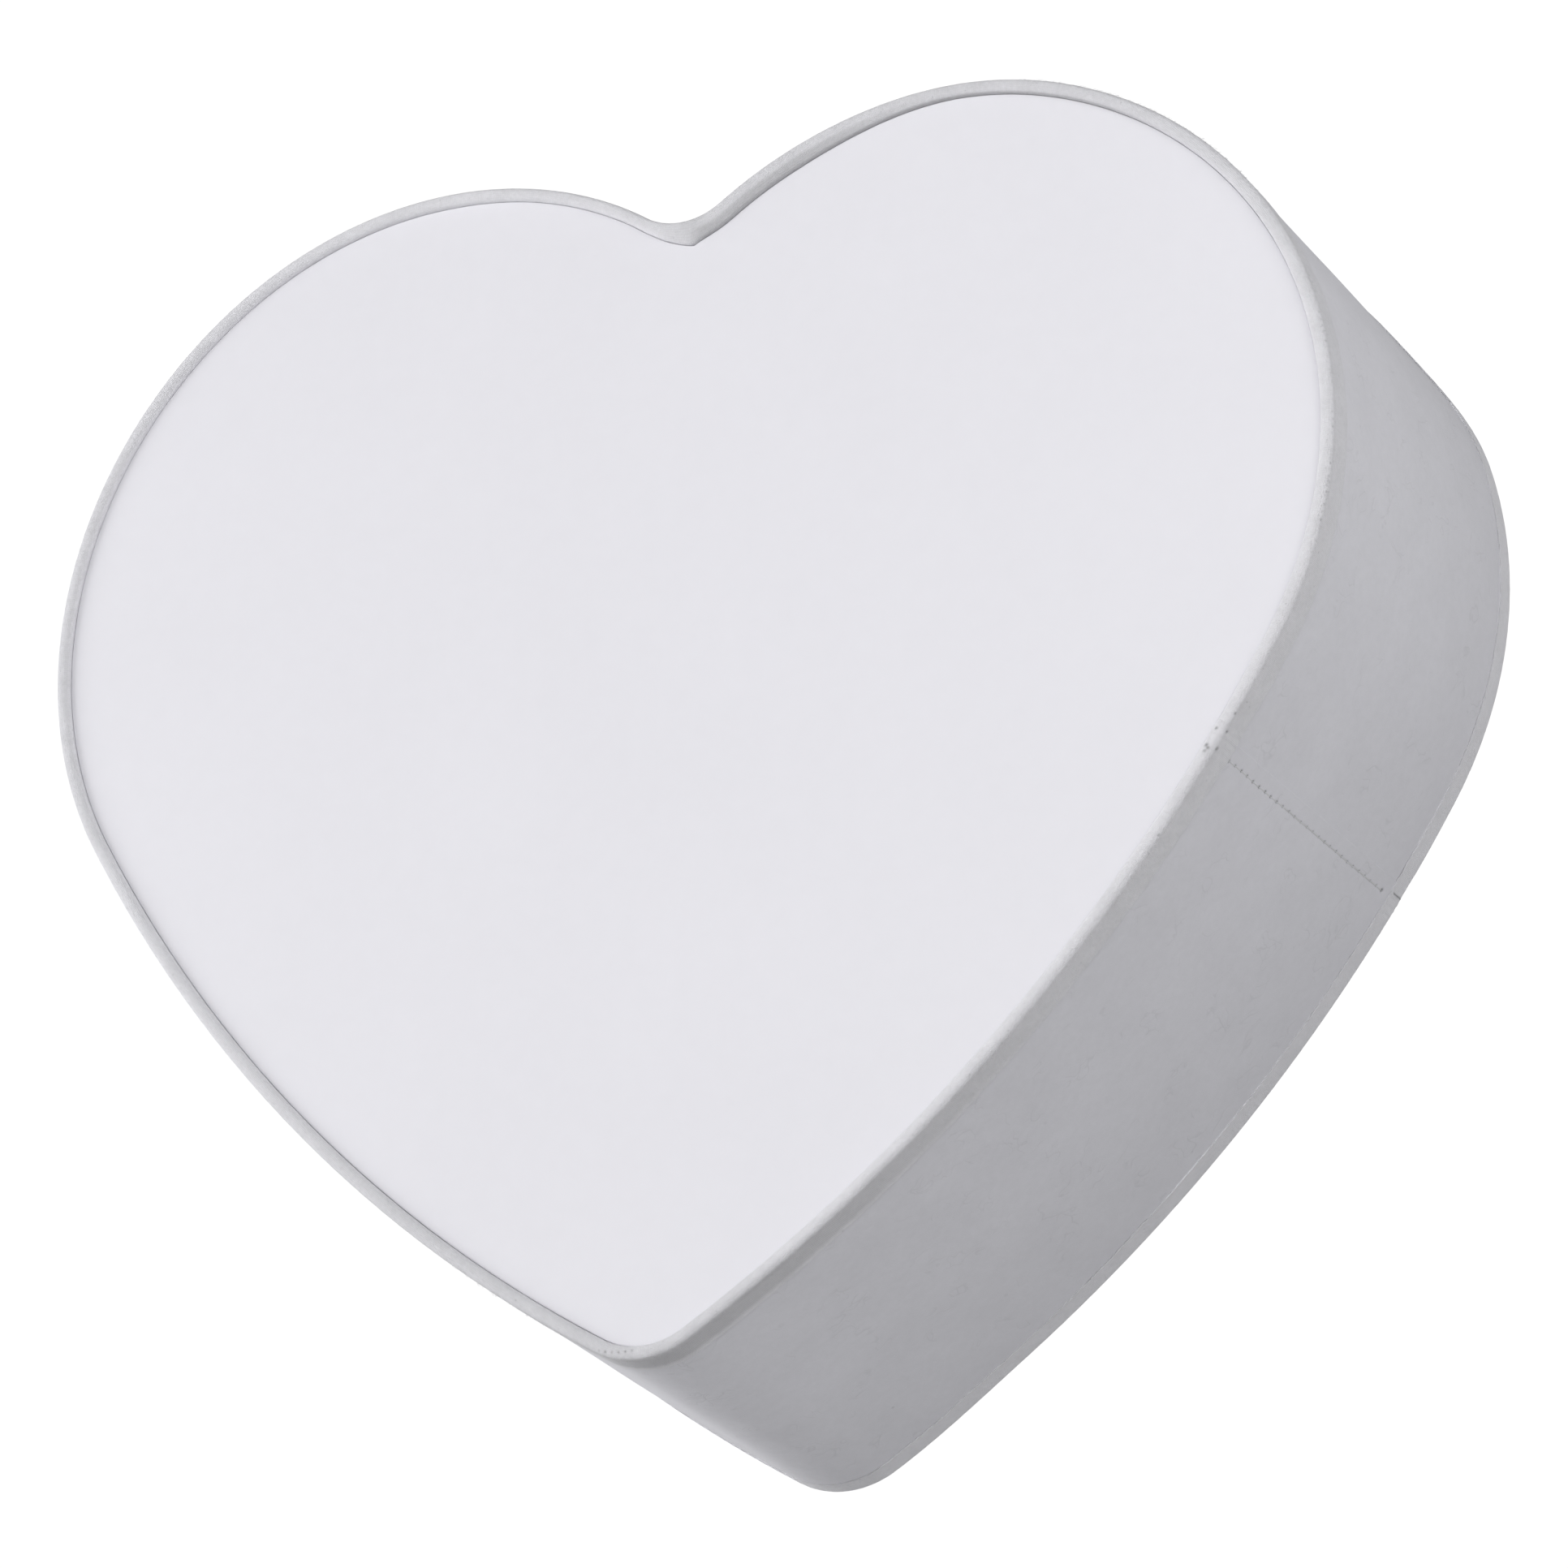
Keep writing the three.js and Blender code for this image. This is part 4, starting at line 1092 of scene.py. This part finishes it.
def build_seam_tape():
    """A woven tape glued over the seam on the inside."""
    width, inset, sheet = 20.0, 1.62, 0.35
    across = np.linspace(-width / 2, width / 2, 21)
    at_edge = (np.abs(across) / (width / 2)) ** 8
    rings, cloth = [], []
    for y in np.linspace(SEAM_LOW.y, SEAM_HIGH.y, 40):
        waver = 0.3 * ripple(y, np.sign(across) * 50, [(17, 90), (31, 70)], 21) * at_edge
        swell = 0.05 * ripple(y, across, [(19, 8), (33, 12)], 22)
        s = SEAM_S + across + waver
        top = on_outline(s, inset + swell, y)
        under = on_outline(s[::-1], inset + sheet, y)
        rings.append(np.concatenate([top, under]))
        cloth.append(cloth_place(y, np.concatenate([across, across[::-1]])))
    skin = loft(rings)
    attributes = {"cloth": np.concatenate(cloth), "recess_shade": np.zeros(len(skin[0]))}
    tape = add_piece(
        "seam_tape_woven", skin, "trim_tape", node="seam_tape", crease=60, attributes=attributes)


def build_fray():
    """Loose fibres along the front tape's outer corner, on the right side and round the tip."""
    fibre_count = 900
    draw = np.random.RandomState(5)
    share = np.linspace(0, 1, 5)
    parts = []
    for _ in range(fibre_count):
        s = draw.uniform(SEAM_S - 330, HALF_LENGTH + 90)
        start_depth = draw.uniform(0.1, 1.9)
        along = draw.uniform(-1.0, 1.0)
        reach = draw.uniform(0.15, 0.75)
        fall = draw.uniform(0.1, 1.5)
        inset = 0.9 * (1 - start_depth / 1.9) ** 2 - 0.02 - reach * np.sin(share * math.pi * 0.6)
        path = on_outline(s + along * share, inset, FRONT_Y + (start_depth + fall * share ** 1.5))
        parts.append(tube(path, np.linspace(0.055, 0.02, 5), 3))
    add_piece("tape_fray", joined(parts), "trim_tape", material=MATERIALS["sewing_thread"])


# ---------------- shade: the spider

ROD_RADIUS = 2.0
ROD_Y = -30.0
ROD_END_Y = BACK_Y - 2.3
HUB_RADIUS = 22.0
HUB_HOLE = 5.0
HUB_FRONT_Y = -34.3
HUB_BACK_Y = -32.3


def spoke_reach(degrees, inset):
    """Distance along a spoke to the outline at an inset."""
    place = on_outline(np.arange(0, OUTLINE_LENGTH, 0.25), inset, 0.0)
    angles = np.degrees(np.arctan2(place[:, 2], place[:, 0])) - degrees
    nearest = place[np.argmin(np.abs((angles + 180) % 360 - 180))]
    return math.hypot(nearest[0], nearest[2])


def build_spider():
    """Three rods that step back over the pan's rim to the wire, welded to a washer-like hub."""
    over_rim, past_rim = PAN_RADIUS + 4, PAN_RADIUS + 26
    for name, degrees in SPIDER_ARMS.items():
        route = [
            (9, ROD_Y), (over_rim - 30, ROD_Y), (over_rim, ROD_Y),
            ((over_rim + past_rim) / 2, (ROD_Y + ROD_END_Y) / 2), (past_rim, ROD_END_Y),
            (spoke_reach(degrees, 5.2), ROD_END_Y),
        ]
        path = smooth_path([on_spoke(degrees, distance, y) for distance, y in route], 9)
        stand_in(f"spider_arm_{name}", "rod", tube(path, ROD_RADIUS, 20), "coated_wire", "shade")
    edge = 0.5
    rim = HUB_RADIUS - edge
    profile = [
        (HUB_HOLE, HUB_BACK_Y - edge), (HUB_HOLE, HUB_FRONT_Y + edge), (HUB_HOLE + edge, HUB_FRONT_Y),
        (rim, HUB_FRONT_Y), *arc(rim, HUB_FRONT_Y + edge, edge, 270, 360, 3)[1:],
        (HUB_RADIUS, HUB_BACK_Y - edge), *arc(rim, HUB_BACK_Y - edge, edge, 0, 90, 3)[1:],
        (HUB_HOLE + edge, HUB_BACK_Y),
    ]
    parts = [lathe(profile)]
    for degrees in SPIDER_ARMS.values():
        parts.extend(spider_welds(degrees))
    stand_in("spider_hub", "disc", joined(parts), "coated_wire", "shade")


def spider_welds(degrees):
    """Small beads of weld along both sides of a rod on the hub."""
    turn = math.radians(degrees)
    across = np.array((-math.sin(turn), 0, math.cos(turn)))
    beads = []
    for middle in (11.0, 16.0, 21.0):
        bead = smooth_path([on_spoke(degrees, middle + d, HUB_BACK_Y + 0.05) for d in (-1.6, 0, 1.6)], 4)
        size = 1.1 * np.sqrt(np.clip(1 - np.linspace(-0.97, 0.97, len(bead)) ** 2, 0.05, 1))
        beads += [tube(bead + across * side * 1.5, size, 10) for side in (-1, 1)]
    return beads


# ---------------- chassis

def build_pan():
    """A pressed dish with a rolled rim, drilled for the studs and the grommets."""
    lift, sheet, corner = 0.6, 1.0, 4.0
    floor_y = PAN_FRONT_Y + sheet
    outside = arc(PAN_RADIUS - corner, PAN_FRONT_Y + corner, corner, 270, 360, 8)
    inside = arc(PAN_RADIUS - corner, PAN_FRONT_Y + corner, corner - sheet, 360, 270, 8)
    rim = arc(PAN_RADIUS - sheet / 2, -lift - sheet / 2, sheet / 2, 0, 180, 6)
    bead = [(60.0, 0.0), (62.5, 0.45), (65.0, 0.0)]
    profile = [
        (0, PAN_FRONT_Y), (30, PAN_FRONT_Y), *[(r, PAN_FRONT_Y + up) for r, up in bead], *outside, *rim,
        *inside, *[(r, floor_y + up) for r, up in reversed(bead)], (30, floor_y), (0, floor_y),
    ]
    pan = stand_in("chassis_pan", "dish", lathe(profile, 128), "white_enamel", crease=35)
    stud_hole = pin(2.6, PAN_FRONT_Y - 2, PAN_FRONT_Y + 3)
    grommet_hole = pin(4.4, PAN_FRONT_Y - 2, PAN_FRONT_Y + 3)
    holes = [moved(stud_hole, (x, 0, 0)) for x in (-STUD_X, STUD_X)]
    holes += [moved(grommet_hole, on_spoke(turn, GROMMET_REACH, 0)) for turn in LAMP_ANGLES]
    combine(pan, holes, crease=35)


def screw_thread(radius, root, pitch, low, high, sides=32, runout=1.2):
    """Rings of a threaded shank along +Y, with the thread dying away at both ends."""
    per_turn = 8
    count = int((high - low) / pitch * per_turn) + 1
    turns = full_turn(sides)
    rings = []
    for h in np.linspace(low, high, count):
        fade = np.clip(min(h - low, high - h) / runout, 0, 1)
        wave = 0.5 + 0.5 * np.cos(2 * np.pi * h / pitch - turns)
        r = root + (radius - root) * (1 - fade * (1 - wave)) if fade > 0 else root
        rings.append(round_ring(r, h, sides))
    return rings


def build_studs_and_nuts():
    """Two threaded studs, each with its nut on a body of its own."""
    thread = loft(screw_thread(2.0, 1.65, 0.7, -31.0, -2.3))
    nut_y = PAN_FRONT_Y - 0.3
    for name, x in (("left", -STUD_X), ("right", STUD_X)):
        stand_in(f"stud_{name}", "thread", moved(thread, (x, 0, 0)), "zinc_steel")
        nut = moved(dome_nut(), (x, nut_y, 0))
        stand_in(f"dome_nut_{name}", "cap", nut, "nickel_plate", f"nut_{name}")


def dome_nut():
    """A capped thumb nut with a fluted skirt, its mouth towards +Y."""
    radius, skirt, height = 6.0, 5.0, 11.0
    bore, bore_depth = 2.35, 8.5
    flutes, flute_depth = 24, 0.32
    swell = (height - skirt) / radius
    dome = [(r, skirt + (h - skirt) * swell) for r, h in arc(0, skirt, radius - 0.4, 0, 90, 10)]
    dome[-1] = (0, dome[-1][1])
    profile = [
        (0, bore_depth), (bore, bore_depth), (bore, 0.4), (bore + 0.4, 0), (radius - 0.5, 0),
        (radius, 0.5), (radius, skirt - 0.5), (radius - 0.2, skirt), *dome,
    ]
    points, faces = lathe(profile, 96)
    around = np.arctan2(points[:, 2], points[:, 0])
    reach = np.hypot(points[:, 0], points[:, 2])
    on_skirt = (reach > radius - 0.3) * (points[:, 1] < skirt)
    flute = flute_depth * np.clip(np.cos(around * flutes), 0, 1) * on_skirt
    points[:, [0, 2]] *= (1 - flute / np.maximum(reach, 0.1))[:, None]
    points[:, 1] *= -1
    return points, faces


def build_strap():
    """The slotted cross strap that is screwed to the wall."""
    half_x, half_z = 70, 11
    slot_x, slot_half, slot_radius = 35, 4.5, 2.5
    corners = [(-half_x, -half_z), (half_x, -half_z), (half_x, half_z), (-half_x, half_z)]
    plate = extruded(rounded(corners, 3.0, 6), -2.0, -0.05, 0.25)
    strap = stand_in("wall_strap", "plate", plate, "zinc_steel", crease=35)
    slots = []
    for x in (-slot_x, slot_x):
        right = arc(x + slot_half, 0, slot_radius, -90, 90, 12)
        left = arc(x - slot_half, 0, slot_radius, 90, 270, 12)
        slots.append(extruded(right + left, -3.0, 1.0, 0.0))
    combine(strap, slots, crease=35)


def build_terminals():
    """A three-way block: a base bar, three towers with wire entries, and slotted screws."""
    pitch, base_height, tower_half, tower_margin = 12.0, 6.5, 4.6, 2.5
    entry_radius, fixing_radius, fixing_x = 1.9, 1.7, 18.0
    low, high = cad_corners("terminal_block")
    middle_z = (low.z + high.z) / 2
    base_y = low.y + base_height
    towers, holes = [], []
    for x in (-pitch, 0.0, pitch):
        towers.append(box_mesh(
            (x - tower_half, low.y + 3, low.z + tower_margin),
            (x + tower_half, high.y, high.z - tower_margin)))
        points, faces = pin(entry_radius, -12, 12, 24)
        entry = np.column_stack([x + points[:, 0], base_y + points[:, 2], middle_z + points[:, 1]])
        holes.append((entry, faces))
    for x in (-fixing_x, fixing_x):
        holes.append(moved(pin(fixing_radius, low.y - 1, high.y + 1), (x, 0, middle_z)))
    base = box_mesh(low, (high.x, base_y, high.z))
    block = stand_in("terminal_block", "body", base, "terminal_plastic")
    combine(block, towers, "UNION")
    combine(block, holes)
    soften_edges(block, 0.35)
    apply_modifiers(block, 50)
    for i in range(3):
        build_screw(f"terminal_screw_{i + 1}", 0.7)
    build_screw("earth_screw", 1.2)


def build_screw(node, slot_width):
    """A slotted pan head in the box of its CAD node."""
    low, high = cad_corners(node)
    radius = (high.x - low.x) / 2
    x, z = (low.x + high.x) / 2, (low.z + high.z) / 2
    edge = radius * 0.35
    slot_depth = 0.8
    profile = [
        (0, low.y), (radius, low.y), (radius, high.y - edge),
        *arc(radius - edge, high.y - edge, edge, 0, 90, 5)[1:], (0, high.y),
    ]
    screw = stand_in(node, "head", moved(lathe(profile, 40), (x, 0, z)), "brass")
    across, half = 2 * radius, slot_width / 2
    slot = box_mesh(
        (x - across, high.y - slot_depth, z - half), (x + across, high.y + 1, z + half))
    combine(screw, [slot])


def build_leads():
    """Each lamp's lead runs back from its holder through a grommet to the terminal block."""
    in_pan = -13.0
    for number, degrees in enumerate(LAMP_ANGLES, 1):
        entry_x = 12.0 * np.sign(round(math.cos(math.radians(degrees)) * 10))
        passing = on_spoke(degrees, GROMMET_REACH, PAN_FRONT_Y + 4)
        route = [
            on_spoke(degrees, LAMP_BASE - 0.3, LAMP_AXIS_Y),
            on_spoke(degrees, LAMP_BASE - 4, LAMP_AXIS_Y + 0.6),
            on_spoke(degrees, GROMMET_REACH + 0.8, LAMP_AXIS_Y + 5.5),
            on_spoke(degrees, GROMMET_REACH, LAMP_AXIS_Y + 13),
            on_spoke(degrees, GROMMET_REACH, PAN_FRONT_Y - 6),
            passing,
            (passing[0] * 0.93, in_pan - 2.5, passing[2] * 0.86),
            ((passing[0] + entry_x) / 2, in_pan + 1.2, min(passing[2] * 0.7, 10)),
            (entry_x, in_pan + 1, 13),
            (entry_x, in_pan, 22 - 0.3),
        ]
        stand_in(f"lamp_lead_{number}", "sheath", tube(smooth_path(route, 10), 2.0, 20), "lead_sheath")
        build_grommet(number, degrees)
    build_earth_lead()


def build_earth_lead():
    """The short green lead from the earth screw to the terminal block."""
    start_x, end_x, z = -40.7, -22.3, 31.0
    start_y, rise, straight = PAN_FRONT_Y + 2.8, 5.0, 4.0
    route = [
        (start_x, start_y, z), (start_x + straight, start_y, z),
        ((start_x + end_x) / 2, start_y + rise / 2, z),
        (end_x - straight, start_y + rise, z), (end_x, start_y + rise, z),
    ]
    stand_in("earth_lead", "sheath", tube(smooth_path(route, 10), 1.25, 16), "earth_sheath")


def build_grommet(number, degrees):
    """A rubber ring that grips the pan's sheet between its two flanges."""
    neck, bore, flange, ring = 4.0, 2.4, 5.6, 0.6
    outer_face, inner_face = PAN_FRONT_Y - 0.15, PAN_FRONT_Y + 1.15
    profile = [
        (bore, outer_face - ring), *arc(flange - ring, outer_face - ring, ring, 270, 360, 4),
        (flange - 0.2, outer_face), (neck, outer_face), (neck, inner_face), (flange - 0.2, inner_face),
        *arc(flange - ring, inner_face + ring, ring, 0, 90, 4), (bore, inner_face + ring),
    ]
    skin = moved(lathe(profile, 48), on_spoke(degrees, GROMMET_REACH, 0))
    stand_in(f"grommet_{number}", "ring", skin, "grommet_rubber")


# ---------------- lamps

# (radius, height) points of the turned pieces, from the lamp's base outwards
HOLDER_PROFILE = [
    (0, 0), *arc(14.0, 2.0, 2.0, 270, 360, 4), (16.0, 3.0), (17.0, 3.0), *arc(17.0, 4.0, 1.0, 270, 360, 3),
    (18.0, 15.5), (19.2, 18.2), *arc(19.0, 19.6, 1.0, 300, 360, 3), (20.0, 27.5), (19.5, 28.0),
    (19.5, 29.2), (20.0, 29.7), *arc(18.6, 43.6, 1.4, 0, 90, 5), (15.4, 45.0),
    *arc(15.3, 44.0, 1.0, 90, 180, 4), (14.3, 12.0), (0, 12.0),
]
SHELL_PROFILE = [(13.45, 14.3), (13.6, 14.0), (13.95, 14.0), (13.95, 42.0), (13.7, 42.2), (13.45, 42.0)]
CAP_TAIL = [(4.3, 14.2), (4.8, 14.5), (5.2, 16.0), (8.0, 17.2), (10.8, 18.2), (11.9, 19.2)]
CAP_THREAD = (13.1, 12.2, 3.6, 20.0, 38.6)  # radius, root, pitch, low, high
CAP_HEAD = [(12.2, 38.8), (12.9, 40.0), (13.1, 40.6), (13.1, 41.8), (12.9, 42.0)]
GLOBE_ROUTE = [(13.6, 42.3), (13.9, 45.0), (15.1, 50.3), (19.0, 58.0), (23.6, 66.0), (27.4, 76.0)]
GLOBE_CENTRE = 94.0
GLOBE_RADIUS = 30.0
GLASS_THICKNESS = 1.0


def globe_side(inset):
    """(radius, height) points of the bulb's side from the neck to the crown."""
    crown = arc(0, GLOBE_CENTRE, GLOBE_RADIUS, -22, 90, 25)
    neck = smooth_path([*GLOBE_ROUTE, crown[0]], 5)
    path = np.array([*neck, *crown[1:]])
    step = np.gradient(path, axis=0)
    normal = np.column_stack([-step[:, 1], step[:, 0]])
    normal /= np.linalg.norm(normal, axis=1)[:, None]
    shrunk = path + normal * inset
    shrunk[-1] = (0.0, GLOBE_CENTRE + GLOBE_RADIUS - inset)
    return [tuple(p) for p in shrunk]


def build_bulb(number, degrees):
    """A threaded cap and an opal globe, which unscrew together."""
    sides = 72
    rings = [round_ring(*p, sides) for p in CAP_TAIL]
    rings += screw_thread(*CAP_THREAD, sides, runout=1.6)
    rings += [round_ring(*p, sides) for p in CAP_HEAD]
    body = f"bulb_{number}"
    stand_in(
        f"{body}_cap", "thread", along_lamp(loft(rings), degrees), "cap_aluminium", body, crease=50)
    globe = lathe([*globe_side(GLASS_THICKNESS)[::-1], *globe_side(0)])
    stand_in(f"{body}_globe", "glass", along_lamp(globe, degrees), "opal_glass", body, crease=50)


def build_holder(number, degrees):
    """A turned porcelain holder and the brass screw shell inside it."""
    holder = along_lamp(lathe(HOLDER_PROFILE), degrees)
    stand_in(f"lampholder_{number}", "body", holder, "porcelain")
    shell = along_lamp(lathe(SHELL_PROFILE), degrees)
    stand_in(f"screw_shell_{number}", "ring", shell, "brass")


# ---------------- carried-over CAD nodes

SHEET_METAL = ("lamp_bracket", "spring_clip", "diffuser_clip", "centre_contact")


def dress_cad_nodes():
    """Gives each CAD node its material, and softens the edges of the sheet-metal ones."""
    for name, obj in frame["nodes"].items():
        obj.data.materials[0] = MATERIALS[obj.data.materials[0].name]
        if name.startswith(SHEET_METAL):
            weld = obj.modifiers.new("weld", "WELD")
            weld.merge_threshold = 1e-6
            soften_edges(obj, 0.2)


# ---------------- stage, lights and camera

VIEW_AZIMUTH = math.radians(28.24)
VIEW_ELEVATION = math.radians(-22.56)
VIEW_ROLL = math.radians(1.744)
VIEW_TARGET = Vector((0.04785, -0.156, -0.05765))
VIEW_DISTANCE = 2.706
VIEW_LENS = 183.85
LIGHT_TARGET = Vector((0, -0.08, -0.03))
FLOOR_Z = -1.7
FLOOR_HALF = 40.0
# (name, place in metres, size, power)
SOFTBOXES = [
    ("front_light", (0.0, -3.4, 0.2), 2.4, 28),
    ("left_light", (-3.0, -1.4, 0.2), 1.8, 78),
    ("right_light", (3.0, -1.2, 0.6), 1.8, 23),
    ("near_light", (1.3, -1.0, 0.4), 1.0, 6.8),
    ("back_light", (0.0, 3.0, 0.5), 1.8, 30),
]


def build_camera():
    """The photograph's camera."""
    a, e, roll = VIEW_AZIMUTH, VIEW_ELEVATION, VIEW_ROLL
    back = Vector((math.sin(a) * math.cos(e), -math.cos(a) * math.cos(e), math.sin(e)))
    right = (-back).cross(Vector((0, 0, 1))).normalized()
    up = right.cross(-back)
    turned_right = math.cos(roll) * right + math.sin(roll) * up
    turned_up = -math.sin(roll) * right + math.cos(roll) * up
    data = bpy.data.cameras.new("camera")
    data.lens = VIEW_LENS
    data.sensor_width = 36.0
    data.clip_start = 0.05
    data.clip_end = 200.0
    camera = linked(bpy.data.objects.new("camera", data))
    camera.rotation_mode = "QUATERNION"
    axes = Matrix((turned_right, turned_up, back)).transposed()
    camera.rotation_quaternion = axes.to_quaternion()
    camera.location = VIEW_TARGET + back * VIEW_DISTANCE
    bpy.context.scene.camera = camera


def build_softbox(name, location, size, power):
    """A square area light aimed at the middle of the shade."""
    data = bpy.data.lights.new(name, "AREA")
    data.shape = "SQUARE"
    data.size = size
    data.energy = power
    light = linked(bpy.data.objects.new(name, data))
    light.location = location
    light.rotation_mode = "QUATERNION"
    light.rotation_quaternion = (LIGHT_TARGET - Vector(location)).to_track_quat("-Z", "Y")


def build_floor():
    """A pale paper floor, which the camera sees paler than it lights the object."""
    mesh = bpy.data.meshes.new("floor")
    corners = [(x * FLOOR_HALF, y * FLOOR_HALF, FLOOR_Z) for x, y in ((-1, -1), (1, -1), (1, 1), (-1, 1))]
    mesh.from_pydata(corners, [], [(0, 1, 2, 3)])
    paper = Shader("floor_paper", (0.78, 0.78, 0.78), 0.9)
    paper.tint(paper.swing(paper.noise(400, 2), 0.99, 1.01))
    glow = paper.node("Emission", {"Color": (1, 1, 1, 1), "Strength": 0.95})
    seen = paper.math("MULTIPLY", paper.node("LightPath").outputs["Is Camera Ray"], 0.8)
    mixed = paper.node("MixShader", {"Fac": seen, 1: paper.bsdf.outputs[0], 2: glow.outputs[0]})
    paper.feed(paper.tree.nodes["Material Output"].inputs["Surface"], mixed.outputs[0])
    mesh.materials.append(paper.material)
    linked(bpy.data.objects.new("floor", mesh))


def build_surround():
    """A world that is white to the camera and lights the object only a little."""
    world = bpy.data.worlds.new("surround")
    bpy.context.scene.world = world
    world.use_nodes = True
    nodes, links = world.node_tree.nodes, world.node_tree.links
    nodes.clear()
    mix = nodes.new("ShaderNodeMixShader")
    links.new(nodes.new("ShaderNodeLightPath").outputs["Is Camera Ray"], mix.inputs["Fac"])
    for socket, color, strength in ((1, (0.97, 0.98, 1.0, 1), 0.125), (2, (1, 1, 1, 1), 1.05)):
        background = nodes.new("ShaderNodeBackground")
        background.inputs["Color"].default_value = color
        background.inputs["Strength"].default_value = strength
        links.new(background.outputs[0], mix.inputs[socket])
    links.new(mix.outputs[0], nodes.new("ShaderNodeOutputWorld").inputs["Surface"])


def build_stage():
    """A pale floor, a white surround and five large soft lights."""
    view = bpy.context.scene.view_settings
    view.view_transform = "Standard"
    view.look = "None"
    build_floor()
    build_surround()
    for settings in SOFTBOXES:
        build_softbox(*settings)


# ---------------- assembly

build_camera()
build_stage()
dress_cad_nodes()
build_wall()
build_ring_wire("front_ring_wire", FRONT_Y, -1)
build_ring_wire("back_ring_wire", BACK_Y, 1)
build_tape(
    "front_tape_cotton", "front_trim_tape",
    FRONT_Y, -1, FRONT_TURN, SEAM_S - 9.0, front_tape_marks(), 31)
build_tape(
    "back_tape_cotton", "back_trim_tape",
    BACK_Y, 1, BACK_TURN, SEAM_S - 2.0, back_tape_marks(), 47)
build_diffuser()
build_stitches("stitches_outer", "seam_thread_outer", WALL_OUTER + 0.05, 0.35, 1.0)
build_stitches("stitches_inner", "seam_thread_inner", WALL_INNER + 0.05, -0.2, 1.1)
build_seam_tape()
build_fray()
build_spider()
build_pan()
build_strap()
build_studs_and_nuts()
build_terminals()
build_leads()
for lamp_number, lamp_angle in enumerate(LAMP_ANGLES, 1):
    build_holder(lamp_number, lamp_angle)
    build_bulb(lamp_number, lamp_angle)
